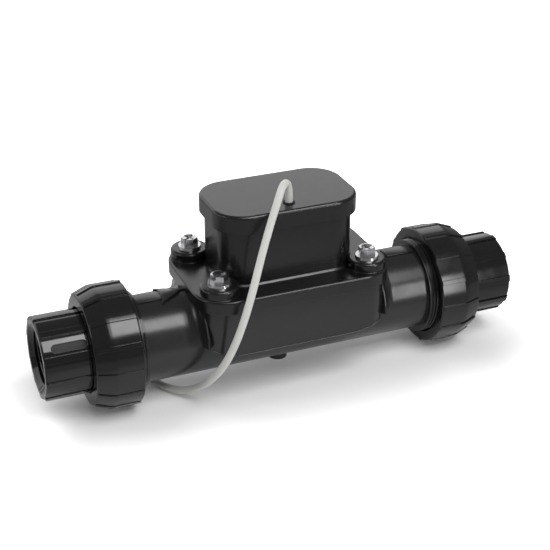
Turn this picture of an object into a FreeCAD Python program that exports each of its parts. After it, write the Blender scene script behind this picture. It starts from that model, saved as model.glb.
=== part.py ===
import FreeCAD, Part
import math
import os

import Sketcher
from FreeCAD import Placement, Rotation, Vector

# Irrigation flow sensor: a pipe body with a paddle wheel in its middle, a screwed-on
# cover with the electronics, and a pipe union at each end.
# Every body is drawn about the pipe's centre line: +X with the flow, -Y to the front,
# +Z up. Placement lifts it so that the union nuts' lowest ribs stand on z = 0.

doc = FreeCAD.newDocument("FlowSensor")
sheet = doc.addObject("Spreadsheet::Sheet", "Sizes")

SIZES = {
    # pipe and body
    "pipe_radius": 23.2,
    "bore_radius": 14.5,
    "seal_face": 102.0,
    "collar_length": 21.7,
    "collar_radius": 25.8,
    "collar_chamfer": 1.0,
    "tub_length": 101.2,
    "tub_width": 64.0,
    "tub_corner": 10.0,
    "tub_drop": 3.0,
    "tub_keel": 30.0,
    "tub_rise": 3.5,
    "flare_radius": 8.3,
    "flare_rim": 0.8,
    "seat_height": 24.0,
    "foot_radius": 5.2,
    "foot_drop": 27.3,
    # cover and lid
    "screw_x": 41.3,
    "screw_y": 23.25,
    "flange_land": 0.55,
    "flange_shift": 5.1,
    "flange_thickness": 7.2,
    "flange_round": 1.2,
    "boss_radius": 10.2,
    "boss_height": 5.1,
    "boss_chamfer": 1.2,
    "tower_length": 73.8,
    "tower_width": 44.6,
    "tower_corner": 14.0,
    "tower_height": 36.8,
    "tower_wall": 2.4,
    "tower_root": 0.9,
    "floor_thickness": 3.0,
    "lid_overhang": 2.6,
    "lid_skirt": 6.5,
    "lid_thickness": 3.1,
    "lid_round": 1.6,
    # cover screws and inserts
    "shank_radius": 2.4,
    "screw_clearance": 0.4,
    "washer_radius": 6.1,
    "washer_thickness": 1.1,
    "hex_across_flats": 8.0,
    "hex_height": 4.6,
    "drive_width": 1.3,
    "drive_depth": 1.8,
    "insert_radius": 3.8,
    "insert_length": 10.0,
    "screw_reach": 13.0,
    # cover gasket
    "gasket_length": 70.0,
    "gasket_width": 46.0,
    "gasket_corner": 8.0,
    "gasket_section": 3.0,
    "gasket_depth": 2.4,
    # unions
    "nut_length": 24.7,
    "nut_nose": 9.0,
    "nut_lead_in": 0.9,
    "nut_edge": 0.6,
    "nut_radius": 32.4,
    "nut_rib_height": 0.7,
    "nut_rib_angle": 4.2,
    "nut_ribs": 14,
    "nut_nose_drop": 3.4,
    "nut_wall": 2.7,
    "nut_thread_gap": 0.5,
    "nut_mouth_gap": 0.6,
    "seal_gap": 0.3,
    "tail_flange": 3.7,
    "tail_flange_gap": 0.2,
    "tail_length": 30.7,
    "hub_radius": 21.6,
    "hub_rib_height": 0.8,
    "hub_rib_angle": 9.0,
    "hub_rib_turn": 6.0,
    "hub_ribs": 10,
    "hub_chamfer": 0.8,
    "port_radius": 16.0,
    "port_depth": 22.0,
    "mouth_radius": 18.7,
    "mouth_depth": 2.6,
    "ring_radius": 19.5,
    "ring_section": 2.7,
    "ring_groove_gap": 0.35,
    # paddle wheel and its carrier
    "carrier_length": 40.0,
    "carrier_width": 34.0,
    "carrier_plate": 5.0,
    "carrier_gap": 0.4,
    "well_length": 31.0,
    "well_width": 27.0,
    "cheek_inside": 10.0,
    "cheek_thickness": 3.0,
    "cheek_half": 5.5,
    "bush_radius": 3.0,
    "shaft_radius": 1.5,
    "shaft_height": 5.0,
    "shaft_gap": 0.05,
    "rotor_half_width": 9.0,
    "rotor_hub": 4.2,
    "rotor_blades": 6,
    "blade_thickness": 1.8,
    "tip_circle": 10.8,
    "tip_radius": 2.4,
    "magnet_radius": 1.4,
    # electronics and cable
    "post_x": 24.0,
    "post_y": 9.0,
    "post_radius": 2.0,
    "post_height": 2.4,
    "board_length": 56.0,
    "board_width": 26.0,
    "board_thickness": 1.6,
    "sensor_length": 4.0,
    "sensor_width": 3.0,
    "sensor_height": 1.6,
    "potting_height": 8.0,
    "cable_radius": 2.0,
    "cable_front": 15.3,
    "grommet_wall": 0.6,
    "grommet_lip": 0.5,
    "grommet_lip_height": 0.5,
    # coil of the lead's far end
    "coil_x": 30.0,
    "coil_y": 82.0,
    "coil_inner": 17.6,
    "coil_outer": 35.1,
    "coil_height": 8.2,
    "tie_thickness": 0.6,
    "tie_width": 4.0,
    "tie_gap": 0.2,
    "lead_radius": 0.8,
    "lead_length": 30.0,
    "lead_offset": 0.9,
}

for row, (alias, value) in enumerate(SIZES.items(), start=1):
    sheet.set(f"A{row}", alias)
    sheet.set(f"B{row}", str(value))
    sheet.setAlias(f"B{row}", alias)
doc.recompute()


def named(text):
    """Turn @size in an expression into a reference to the sheet."""
    return text.replace("@", "Sizes.")


def value_of(text):
    """Number that an expression on the sheet gives now."""
    result = sheet.evalExpression(named(text))
    return float(getattr(result, "Value", result))


NUT_RIB_RADIUS = "(@nut_radius + @nut_rib_height)"
HUB_RIB_RADIUS = "(@hub_radius + @hub_rib_height)"
AXIS_HEIGHT = f"({NUT_RIB_RADIUS} * cos(180deg / @nut_ribs - @nut_rib_angle * 0.5deg))"
TOWER_TOP = "(@seat_height + @flange_thickness + @tower_height)"
LID_TOP = f"({TOWER_TOP} + @lid_thickness)"
COVER_FLOOR = "(@seat_height + @floor_thickness)"
BOARD_SEAT = f"({COVER_FLOOR} + @post_height)"
COLLAR_START = "(@seal_face - @collar_length)"
TAIL_FACE = "(@seal_face + @seal_gap)"
TAIL_SHOULDER = f"({TAIL_FACE} + @tail_flange)"
TAIL_END = f"({TAIL_FACE} + @tail_length)"
NUT_LAND = f"({TAIL_SHOULDER} + @seal_gap)"
NUT_END = f"({NUT_LAND} + @nut_wall)"
NUT_SHOULDER = f"({NUT_END} - @nut_nose)"
NUT_START = f"({NUT_END} - @nut_length)"
NUT_BORE = "(@collar_radius + @nut_thread_gap)"
CHEEK_OUTSIDE = "(@cheek_inside + @cheek_thickness)"


def tie(obj, prop, text):
    """Bind a property to an expression on the sheet."""
    obj.setExpression(prop, named(text))


def new_body(label, lift=AXIS_HEIGHT, turn=0):
    """Body named for its piece, lifted to the pipe's centre line."""
    body = doc.addObject("PartDesign::Body", label)
    body.Label = label
    body.Placement = Placement(Vector(), Rotation(Vector(0, 0, 1), turn))
    tie(body, "Placement.Base.z", lift)
    return body


def origin(body, role):
    """Plane or axis of a body's own origin."""
    return next(item for item in body.Origin.OriginFeatures if item.Role == role)


def new_sketch(body, role, name, offset=None, turn=None):
    """Sketch on an origin plane, moved along its normal or turned about its own x axis."""
    sketch = body.newObject("Sketcher::SketchObject", name)
    sketch.AttachmentSupport = [(origin(body, role), "")]
    sketch.MapMode = "FlatFace"
    if offset is not None:
        tie(sketch, "AttachmentOffset.Base.z", offset)
    if turn is not None:
        sketch.AttachmentOffset = Placement(Vector(), Rotation(Vector(1, 0, 0), value_of(turn)))
        tie(sketch, "AttachmentOffset.Rotation.Angle", turn)
    return sketch


def place_along(sketch, kind, index, position, text):
    """Dimension a point from the origin along one axis; a leading minus is the other side."""
    if text == "0":
        axis = -2 if kind == "DistanceX" else -1
        sketch.addConstraint(Sketcher.Constraint("PointOnObject", index, position, axis))
        return
    size = text.lstrip("-")
    ends = (-1, 1, index, position) if size == text else (index, position, -1, 1)
    number = sketch.addConstraint(Sketcher.Constraint(kind, *ends, value_of(size)))
    tie(sketch, f"Constraints[{number}]", size)


def place(sketch, index, position, x_text, y_text):
    """Dimension a point of a sketch from the origin."""
    place_along(sketch, "DistanceX", index, position, x_text)
    place_along(sketch, "DistanceY", index, position, y_text)


def signed(text):
    """Value of a coordinate that may carry a leading minus."""
    return -value_of(text[1:]) if text.startswith("-") else value_of(text)


def outline(sketch, corners, arcs=None):
    """Closed outline through dimensioned corners; arcs gives the centre of each round side."""
    points = [Vector(signed(x), signed(y), 0) for x, y in corners]
    centres = arcs or {}
    ends = []
    for side, start in enumerate(points):
        end = points[(side + 1) % len(points)]
        if side not in centres:
            index = sketch.addGeometry(Part.LineSegment(start, end))
            ends.append((index, 1, 2))
            continue
        centre = Vector(signed(centres[side][0]), signed(centres[side][1]), 0)
        begin = math.atan2(start.y - centre.y, start.x - centre.x)
        sweep = (math.atan2(end.y - centre.y, end.x - centre.x) - begin) % math.tau
        forward = sweep < math.pi
        low = begin if forward else begin + sweep
        span = sweep if forward else math.tau - sweep
        rim = Part.Circle(centre, Vector(0, 0, 1), (start - centre).Length)
        index = sketch.addGeometry(Part.ArcOfCircle(rim, low, low + span))
        ends.append((index, 1, 2) if forward else (index, 2, 1))
    for side, (index, _, end) in enumerate(ends):
        following, next_start, _ = ends[(side + 1) % len(ends)]
        sketch.addConstraint(Sketcher.Constraint("Coincident", index, end, following, next_start))
    for (index, start, _), (x_text, y_text) in zip(ends, corners):
        place(sketch, index, start, x_text, y_text)
    for side, (x_text, _) in centres.items():
        place_along(sketch, "DistanceX", ends[side][0], 3, x_text)


def circle(sketch, radius, x_text="0", y_text="0"):
    """Circle with its centre dimensioned from the origin."""
    centre = Vector(signed(x_text), signed(y_text), 0)
    index = sketch.addGeometry(Part.Circle(centre, Vector(0, 0, 1), value_of(radius)))
    number = sketch.addConstraint(Sketcher.Constraint("Radius", index, value_of(radius)))
    tie(sketch, f"Constraints[{number}]", radius)
    place(sketch, index, 3, x_text, y_text)


def four_circles(sketch, radius, x_text, y_text):
    """A circle in each corner of a rectangle about the origin."""
    for x_sign in ("", "-"):
        for y_sign in ("", "-"):
            circle(sketch, radius, x_sign + x_text, y_sign + y_text)


def rectangle(sketch, length, width):
    """Rectangle about the origin."""
    x, y = f"({length} / 2)", f"({width} / 2)"
    outline(sketch, [("-" + x, "-" + y), (x, "-" + y), (x, y), ("-" + x, y)])


def rounded_rectangle(sketch, length, width, corner):
    """Rectangle about the origin with round corners."""
    x, y = f"({length} / 2)", f"({width} / 2)"
    ix, iy = f"({length} / 2 - ({corner}))", f"({width} / 2 - ({corner}))"
    right = [(ix, f"-{y}"), (x, f"-{iy}"), (x, iy), (ix, y)]
    left = [(f"-{ix}", y), (f"-{x}", iy), (f"-{x}", f"-{iy}"), (f"-{ix}", f"-{y}")]
    arcs = {0: (ix, f"-{iy}"), 2: (ix, iy), 4: (f"-{ix}", iy), 6: (f"-{ix}", f"-{iy}")}
    outline(sketch, right + left, arcs)


def pad(body, sketch, name, length, reverse=False):
    feature = body.newObject("PartDesign::Pad", name)
    feature.Profile = sketch
    feature.Reversed = reverse
    tie(feature, "Length", length)
    return feature


def pocket(body, sketch, name, length, reverse=False):
    feature = body.newObject("PartDesign::Pocket", name)
    feature.Profile = sketch
    feature.Reversed = reverse
    tie(feature, "Length", length)
    return feature


def revolve(body, sketch, name, axis="H_Axis", angle=None, cut=False):
    """Solid or cut of revolution about a sketch axis, whole or centred on the sketch."""
    feature = body.newObject("PartDesign::Groove" if cut else "PartDesign::Revolution", name)
    feature.Profile = sketch
    feature.ReferenceAxis = (sketch, [axis])
    feature.Angle = 360
    if angle is not None:
        feature.Midplane = True
        tie(feature, "Angle", angle)
    return feature


def mirror(body, features, name, role):
    feature = body.newObject("PartDesign::Mirrored", name)
    feature.Originals = features
    feature.MirrorPlane = (origin(body, role), [""])
    body.Tip = feature
    return feature


def ring_of(body, features, name, role, count):
    """Polar pattern over a full turn."""
    feature = body.newObject("PartDesign::PolarPattern", name)
    feature.Originals = features
    feature.Axis = (origin(body, role), [""])
    feature.Angle = 360
    tie(feature, "Occurrences", count)
    body.Tip = feature
    return feature


def round_off(body, feature, name, radius, wanted):
    """Fillet the edges of a feature that the test picks."""
    doc.recompute()
    edges = [f"Edge{n}" for n, edge in enumerate(feature.Shape.Edges, start=1) if wanted(edge)]
    fillet = body.newObject("PartDesign::Fillet", name)
    fillet.Base = (feature, edges)
    tie(fillet, "Radius", radius)
    return fillet


def bevel(body, feature, name, size, wanted):
    """Chamfer the edges of a feature that the test picks."""
    doc.recompute()
    edges = [f"Edge{n}" for n, edge in enumerate(feature.Shape.Edges, start=1) if wanted(edge)]
    chamfer = body.newObject("PartDesign::Chamfer", name)
    chamfer.Base = (feature, edges)
    tie(chamfer, "Size", size)
    return chamfer


def level(edge, height):
    """Whether an edge lies in the horizontal plane at a height."""
    box = edge.BoundBox
    return abs(box.ZMin - height) < 1e-4 and abs(box.ZMax - height) < 1e-4


def middle(edge):
    return edge.valueAt((edge.FirstParameter + edge.LastParameter) / 2)


def make_flow_body():
    """Pipe with the tub for the cover, threaded collars and the paddle wheel's well."""
    body = new_body("flow_body")
    wall = "(@tub_length / 2)"
    lift = "(@tub_rise + @tub_drop)"
    arch = f"((({wall} - @tub_keel) ^ 2 + {lift} ^ 2) / (2 * {lift}) - @tub_drop)"
    sketch = new_sketch(body, "XZ_Plane", "TubElevation", "-@tub_width / 2")
    corners = [("-@tub_keel", "-@tub_drop"), ("@tub_keel", "-@tub_drop"), (wall, "@tub_rise"),
               (wall, "@seat_height"), (f"-{wall}", "@seat_height"), (f"-{wall}", "@tub_rise")]
    outline(sketch, corners, {1: ("@tub_keel", arch), 5: ("-@tub_keel", arch)})
    tub = pad(body, sketch, "Tub", "@tub_width")
    end_x, side_y = value_of(wall), value_of("@tub_width / 2")

    def upright(edge):
        point = middle(edge)
        return abs(abs(point.x) - end_x) < 1e-4 and abs(abs(point.y) - side_y) < 1e-4

    round_off(body, tub, "TubCorners", "@tub_corner", upright)

    rim = "(@tub_length / 2 - @flare_rim)"
    heel = "(@tub_length / 2 - @flare_rim - @flare_radius / 2)"
    reach = "(@tub_length / 2 + @flare_radius)"
    crown = "(@pipe_radius + @flare_radius)"
    sketch = new_sketch(body, "XZ_Plane", "FlareProfile")
    corners = [(heel, "@bore_radius"), (reach, "@bore_radius"), (reach, "@pipe_radius"),
               (wall, crown), (rim, crown), (heel, "@pipe_radius")]
    outline(sketch, corners, {2: (reach, crown)})
    flare = revolve(body, sketch, "Flare", angle=f"180 - 2 * asin(@tub_rise / {crown}) / 1deg")
    mirror(body, [flare], "FlareInlet", "YZ_Plane")
    sketch = new_sketch(body, "XY_Plane", "SeatPlan", "@seat_height")
    rectangle(sketch, f"2 * {reach}", f"2 * {crown}")
    pocket(body, sketch, "Seat", crown, reverse=True)

    sketch = new_sketch(body, "YZ_Plane", "PipeSection", "-@seal_face")
    circle(sketch, "@pipe_radius")
    pad(body, sketch, "Pipe", "2 * @seal_face")
    sketch = new_sketch(body, "XZ_Plane", "CollarProfile")
    tip, brow = "(@seal_face - @collar_chamfer)", "(@collar_radius - @collar_chamfer)"
    outline(sketch, [(COLLAR_START, "@bore_radius"), ("@seal_face", "@bore_radius"),
                     ("@seal_face", brow), (tip, "@collar_radius"),
                     (COLLAR_START, "@collar_radius")])
    collar = revolve(body, sketch, "Collar")
    mirror(body, [collar], "CollarInlet", "YZ_Plane")
    sketch = new_sketch(body, "XY_Plane", "FootPlan", "-@foot_drop")
    circle(sketch, "@foot_radius")
    pad(body, sketch, "Foot", "@foot_drop - @bore_radius")

    sketch = new_sketch(body, "YZ_Plane", "BoreSection", "-@seal_face")
    circle(sketch, "@bore_radius")
    pocket(body, sketch, "Bore", "2 * @seal_face", reverse=True)
    sketch = new_sketch(body, "XZ_Plane", "RingGrooveProfile")
    inner = "(@ring_radius - @ring_section / 2 - @ring_groove_gap)"
    outer = "(@ring_radius + @ring_section / 2 + @ring_groove_gap)"
    back = "(@seal_face - @ring_section)"
    outline(sketch, [(back, inner), ("@seal_face", inner), ("@seal_face", outer), (back, outer)])
    groove = revolve(body, sketch, "RingGroove", cut=True)
    mirror(body, [groove], "RingGrooveInlet", "YZ_Plane")

    sketch = new_sketch(body, "XY_Plane", "LedgePlan", "@seat_height")
    rectangle(sketch, "@carrier_length", "@carrier_width")
    pocket(body, sketch, "Ledge", "@carrier_plate")
    sketch = new_sketch(body, "XY_Plane", "WellPlan", "@seat_height")
    rectangle(sketch, "@well_length", "@well_width")
    pocket(body, sketch, "Well", "@seat_height")
    sketch = new_sketch(body, "XY_Plane", "GasketGroovePlan", "@seat_height")
    gasket_outline(sketch)
    pocket(body, sketch, "GasketGroove", "@gasket_depth")
    sketch = new_sketch(body, "XY_Plane", "InsertPlan", "@seat_height")
    four_circles(sketch, "@insert_radius", "@screw_x", "@screw_y")
    pocket(body, sketch, "InsertHoles", "@insert_length")
    sketch = new_sketch(body, "XY_Plane", "PilotPlan", "@seat_height")
    four_circles(sketch, "(@shank_radius + @screw_clearance)", "@screw_x", "@screw_y")
    pocket(body, sketch, "PilotHoles", "@screw_reach + @screw_clearance")
    return body


def gasket_outline(sketch):
    """Ring between two rounded rectangles."""
    rounded_rectangle(sketch, "@gasket_length", "@gasket_width", "@gasket_corner")
    rounded_rectangle(sketch, "(@gasket_length - 2 * @gasket_section)",
                      "(@gasket_width - 2 * @gasket_section)",
                      "(@gasket_corner - @gasket_section)")


def make_gasket():
    body = new_body("cover_gasket")
    sketch = new_sketch(body, "XY_Plane", "GasketPlan", "@seat_height - @gasket_depth")
    gasket_outline(sketch)
    pad(body, sketch, "Gasket", "@gasket_depth")
    return body


def make_cover():
    """Flange with screw bosses, and the hollow oval tower on it."""
    body = new_body("cover")
    flange_top = "(@seat_height + @flange_thickness)"
    corner = "(@boss_radius + @flange_land + @flange_shift * sqrt(2))"
    centre_x, centre_y = "(@screw_x - @flange_shift)", "(@screw_y - @flange_shift)"
    sketch = new_sketch(body, "XY_Plane", "FlangePlan", "@seat_height")
    rounded_rectangle(sketch, f"2 * ({centre_x} + {corner})", f"2 * ({centre_y} + {corner})", corner)
    flange = pad(body, sketch, "Flange", "@flange_thickness")
    top = value_of(flange_top)
    round_off(body, flange, "Rim", "@flange_round", lambda edge: level(edge, top))
    sketch = new_sketch(body, "XY_Plane", "BossPlan", f"{flange_top} - @flange_round")
    four_circles(sketch, "@boss_radius", "@screw_x", "@screw_y")
    bosses = pad(body, sketch, "Bosses", "@flange_round + @boss_height")
    boss_top = value_of(f"{flange_top} + @boss_height")
    bevel(body, bosses, "BossTops", "@boss_chamfer", lambda edge: level(edge, boss_top))

    sketch = new_sketch(body, "XY_Plane", "TowerPlan", flange_top)
    rounded_rectangle(sketch, "@tower_length", "@tower_width", "@tower_corner")
    pad(body, sketch, "Tower", "@tower_height")
    foot = new_sketch(body, "XY_Plane", "RootFoot", flange_top)
    rounded_rectangle(foot, "(@tower_length + 2 * @tower_root)",
                      "(@tower_width + 2 * @tower_root)", "(@tower_corner + @tower_root)")
    head = new_sketch(body, "XY_Plane", "RootHead", f"{flange_top} + @tower_root")
    rounded_rectangle(head, "@tower_length", "@tower_width", "@tower_corner")
    root = body.newObject("PartDesign::AdditiveLoft", "TowerRoot")
    root.Profile = foot
    root.Sections = [head]
    root.Ruled = True

    sketch = new_sketch(body, "XY_Plane", "CavityPlan", TOWER_TOP)
    cavity_outline(sketch)
    pocket(body, sketch, "Cavity", f"{TOWER_TOP} - {COVER_FLOOR}")
    sketch = new_sketch(body, "XY_Plane", "HolePlan", f"{flange_top} + @boss_height")
    four_circles(sketch, "(@shank_radius + @screw_clearance)", "@screw_x", "@screw_y")
    pocket(body, sketch, "Holes", "@flange_thickness + @boss_height")
    sketch = new_sketch(body, "XY_Plane", "PostPlan", COVER_FLOOR)
    four_circles(sketch, "@post_radius", "@post_x", "@post_y")
    pad(body, sketch, "Posts", "@post_height")
    return body


def cavity_outline(sketch):
    """Inside of the tower's wall."""
    rounded_rectangle(sketch, "(@tower_length - 2 * @tower_wall)",
                      "(@tower_width - 2 * @tower_wall)", "(@tower_corner - @tower_wall)")


def make_lid():
    """Cap that fits over the tower's top, with the cable's hole."""
    body = new_body("lid")
    skirt = f"({TOWER_TOP} - @lid_skirt)"
    sketch = new_sketch(body, "XY_Plane", "LidPlan", skirt)
    rounded_rectangle(sketch, "(@tower_length + 2 * @lid_overhang)",
                      "(@tower_width + 2 * @lid_overhang)", "(@tower_corner + @lid_overhang)")
    cap = pad(body, sketch, "Cap", "@lid_skirt + @lid_thickness")
    top = value_of(LID_TOP)
    round_off(body, cap, "CapRound", "@lid_round", lambda edge: level(edge, top))
    sketch = new_sketch(body, "XY_Plane", "SocketPlan", skirt)
    rounded_rectangle(sketch, "@tower_length", "@tower_width", "@tower_corner")
    pocket(body, sketch, "Socket", "@lid_skirt", reverse=True)
    sketch = new_sketch(body, "XY_Plane", "CableHolePlan", LID_TOP)
    circle(sketch, "(@cable_radius + @grommet_wall)", "0", "-@cable_front")
    pocket(body, sketch, "CableHole", "@lid_thickness")
    return body


def make_grommet():
    """Bush with a thin lip, in the lid's hole."""
    body = new_body("cable_grommet", f"{AXIS_HEIGHT} + {TOWER_TOP}")
    tie(body, "Placement.Base.y", "-@cable_front")
    sketch = new_sketch(body, "XZ_Plane", "GrommetProfile")
    outer = "(@cable_radius + @grommet_wall)"
    lip = "(@cable_radius + @grommet_wall + @grommet_lip)"
    crest = "(@lid_thickness + @grommet_lip_height)"
    outline(sketch, [("@cable_radius", "0"), (outer, "0"), (outer, "@lid_thickness"),
                     (lip, "@lid_thickness"), (lip, crest), ("@cable_radius", crest)])
    revolve(body, sketch, "Grommet", axis="V_Axis")
    return body


def make_screw():
    """One hex washer-head screw, at the corner with positive x and y."""
    seat = "(@seat_height + @flange_thickness + @boss_height)"
    body = new_body("screw", f"{AXIS_HEIGHT} + {seat}")
    tie(body, "Placement.Base.x", "@screw_x")
    tie(body, "Placement.Base.y", "@screw_y")
    shank = "(@flange_thickness + @boss_height + @screw_reach)"
    sketch = new_sketch(body, "XY_Plane", "ShankPlan", f"-{shank}")
    circle(sketch, "@shank_radius")
    pad(body, sketch, "Shank", shank)
    sketch = new_sketch(body, "XY_Plane", "WasherPlan")
    circle(sketch, "@washer_radius")
    pad(body, sketch, "Washer", "@washer_thickness")
    sketch = new_sketch(body, "XY_Plane", "HexPlan", "@washer_thickness")
    half = "(@hex_across_flats / 2)"
    side = "(@hex_across_flats / 2 * tan(30deg))"
    point = "(@hex_across_flats / sqrt(3))"
    outline(sketch, [(point, "0"), (side, half), (f"-{side}", half), (f"-{point}", "0"),
                     (f"-{side}", f"-{half}"), (side, f"-{half}")])
    pad(body, sketch, "Hex", "@hex_height")
    sketch = new_sketch(body, "XY_Plane", "SlotPlan", "@washer_thickness + @hex_height")
    rectangle(sketch, "(2 * @hex_across_flats)", "@drive_width")
    pocket(body, sketch, "Slot", "@drive_depth")
    return body


def make_insert():
    """One threaded insert, at the corner with positive x and y."""
    body = new_body("insert", f"{AXIS_HEIGHT} + @seat_height - @insert_length")
    tie(body, "Placement.Base.x", "@screw_x")
    tie(body, "Placement.Base.y", "@screw_y")
    sketch = new_sketch(body, "XY_Plane", "InsertSection")
    circle(sketch, "@insert_radius")
    circle(sketch, "@shank_radius")
    pad(body, sketch, "Insert", "@insert_length")
    return body


def mirrored(source, normal, name):
    """Copy of a piece on the other side of a plane through the pipe's centre."""
    copy = doc.addObject("Part::Mirroring", name)
    copy.Source = source
    copy.Base = Vector()
    copy.Normal = normal
    return copy


def group(label, members):
    """Separate solids that share one node."""
    compound = doc.addObject("Part::Compound", label)
    compound.Label = label
    compound.Links = members
    return compound


def four_of(label, source):
    """The same fastener in all four corners."""
    across = mirrored(source, Vector(1, 0, 0), f"{label}_inlet")
    pair = group(f"{label}_pair", [source, across])
    behind = mirrored(pair, Vector(0, 1, 0), f"{label}_front")
    return group(label, [pair, behind])


def make_nut(label, turn):
    """Union nut: a round, ribbed ring with a sloped nose."""
    body = new_body(label, turn=turn)
    nose = "(@nut_radius - @nut_nose_drop)"
    mouth = f"({HUB_RIB_RADIUS} + @nut_mouth_gap)"
    rim = f"({NUT_START} + @nut_edge)"
    sketch = new_sketch(body, "XZ_Plane", "NutProfile")
    outline(sketch, [(NUT_START, f"({NUT_BORE} + @nut_lead_in)"),
                     (f"({NUT_START} + @nut_lead_in)", NUT_BORE), (NUT_LAND, NUT_BORE),
                     (NUT_LAND, mouth), (NUT_END, mouth), (NUT_END, nose),
                     (NUT_SHOULDER, "@nut_radius"), (rim, "@nut_radius"),
                     (NUT_START, "(@nut_radius - @nut_edge)")])
    revolve(body, sketch, "Nut")
    sketch = new_sketch(body, "XZ_Plane", "NutRibProfile", turn="180 / @nut_ribs")
    rib_nose = "(@nut_radius - @nut_nose_drop + @nut_rib_height)"
    outline(sketch, [(rim, nose), (NUT_END, nose), (NUT_END, rib_nose),
                     (NUT_SHOULDER, NUT_RIB_RADIUS), (rim, NUT_RIB_RADIUS)])
    rib = revolve(body, sketch, "NutRib", angle="@nut_rib_angle")
    ring_of(body, [rib], "NutRibs", "X_Axis", "@nut_ribs")
    return body


def make_tailpiece(label, turn):
    """Union end: a flange under the nut and a ribbed hub with the pipe socket."""
    body = new_body(label, turn=turn)
    flange = "(@collar_radius - @tail_flange_gap)"
    edge, rim = f"({TAIL_END} - @hub_chamfer)", "(@hub_radius - @hub_chamfer)"
    stop, mouth = f"({TAIL_END} - @port_depth)", f"({TAIL_END} - @mouth_depth)"
    sketch = new_sketch(body, "XZ_Plane", "TailProfile")
    outline(sketch, [(TAIL_FACE, "@bore_radius"), (stop, "@bore_radius"), (stop, "@port_radius"),
                     (mouth, "@port_radius"), (TAIL_END, "@mouth_radius"), (TAIL_END, rim),
                     (edge, "@hub_radius"), (TAIL_SHOULDER, "@hub_radius"),
                     (TAIL_SHOULDER, flange), (TAIL_FACE, flange)])
    revolve(body, sketch, "Tail")
    sketch = new_sketch(body, "XZ_Plane", "HubRibProfile", turn="@hub_rib_turn")
    rib_rim = f"({HUB_RIB_RADIUS} - @hub_chamfer)"
    outline(sketch, [(TAIL_SHOULDER, rim), (TAIL_END, rim), (TAIL_END, rib_rim),
                     (edge, HUB_RIB_RADIUS), (TAIL_SHOULDER, HUB_RIB_RADIUS)])
    rib = revolve(body, sketch, "HubRib", angle="@hub_rib_angle")
    ring_of(body, [rib], "HubRibs", "X_Axis", "@hub_ribs")
    return body


def make_o_ring(label, side):
    """Seal in the face of a collar."""
    ring = doc.addObject("Part::Torus", label)
    ring.Label = label
    tie(ring, "Radius1", "@ring_radius")
    tie(ring, "Radius2", "@ring_section / 2")
    ring.Placement = Placement(Vector(), Rotation(Vector(0, 1, 0), 90))
    tie(ring, "Placement.Base.x", f"{side} * (@seal_face - @ring_section / 2)")
    tie(ring, "Placement.Base.z", AXIS_HEIGHT)
    return ring


def make_carrier():
    """Cassette that hangs the paddle wheel in the flow."""
    body = new_body("rotor_carrier")
    underside = "(@seat_height - @carrier_plate)"
    sketch = new_sketch(body, "XY_Plane", "PlatePlan", underside)
    rectangle(sketch, "(@carrier_length - 2 * @carrier_gap)",
              "(@carrier_width - 2 * @carrier_gap)")
    pad(body, sketch, "Plate", "@carrier_plate")
    sketch = new_sketch(body, "XZ_Plane", "CheekProfile", "@cheek_inside")
    outline(sketch, [("-@cheek_half", "@shaft_height"), ("@cheek_half", "@shaft_height"),
                     ("@cheek_half", underside), ("-@cheek_half", underside)])
    cheek = pad(body, sketch, "Cheek", "@cheek_thickness")
    sketch = new_sketch(body, "XZ_Plane", "EyeProfile", "@cheek_inside")
    circle(sketch, "@cheek_half", "0", "@shaft_height")
    eye = pad(body, sketch, "Eye", "@cheek_thickness")
    sketch = new_sketch(body, "XZ_Plane", "BushHole", "@cheek_inside")
    circle(sketch, "@bush_radius", "0", "@shaft_height")
    hole = pocket(body, sketch, "BushHoles", "@cheek_thickness", reverse=True)
    mirror(body, [cheek, eye, hole], "CheekRear", "XZ_Plane")
    return body


def make_bushes():
    """Two plain bushes in the cheeks."""
    body = new_body("bush")
    sketch = new_sketch(body, "XZ_Plane", "BushSection", "@cheek_inside")
    circle(sketch, "@bush_radius", "0", "@shaft_height")
    circle(sketch, "@shaft_radius", "0", "@shaft_height")
    pad(body, sketch, "Bush", "@cheek_thickness")
    return group("shaft_bushes", [body, mirrored(body, Vector(0, 1, 0), "bush_rear")])


def rod(label, radius, length, x_text, y_text, z_text, turn):
    """Round bar from a point, turned from +Z to its direction."""
    bar = doc.addObject("Part::Cylinder", label)
    bar.Label = label
    tie(bar, "Radius", radius)
    tie(bar, "Height", length)
    bar.Placement = Placement(Vector(), turn)
    tie(bar, "Placement.Base.x", x_text)
    tie(bar, "Placement.Base.y", y_text)
    tie(bar, "Placement.Base.z", z_text)
    return bar


UPRIGHT = Rotation()
REARWARD = Rotation(Vector(1, 0, 0), -90)
SHAFT_AXIS = f"({AXIS_HEIGHT} + @shaft_height)"


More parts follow.
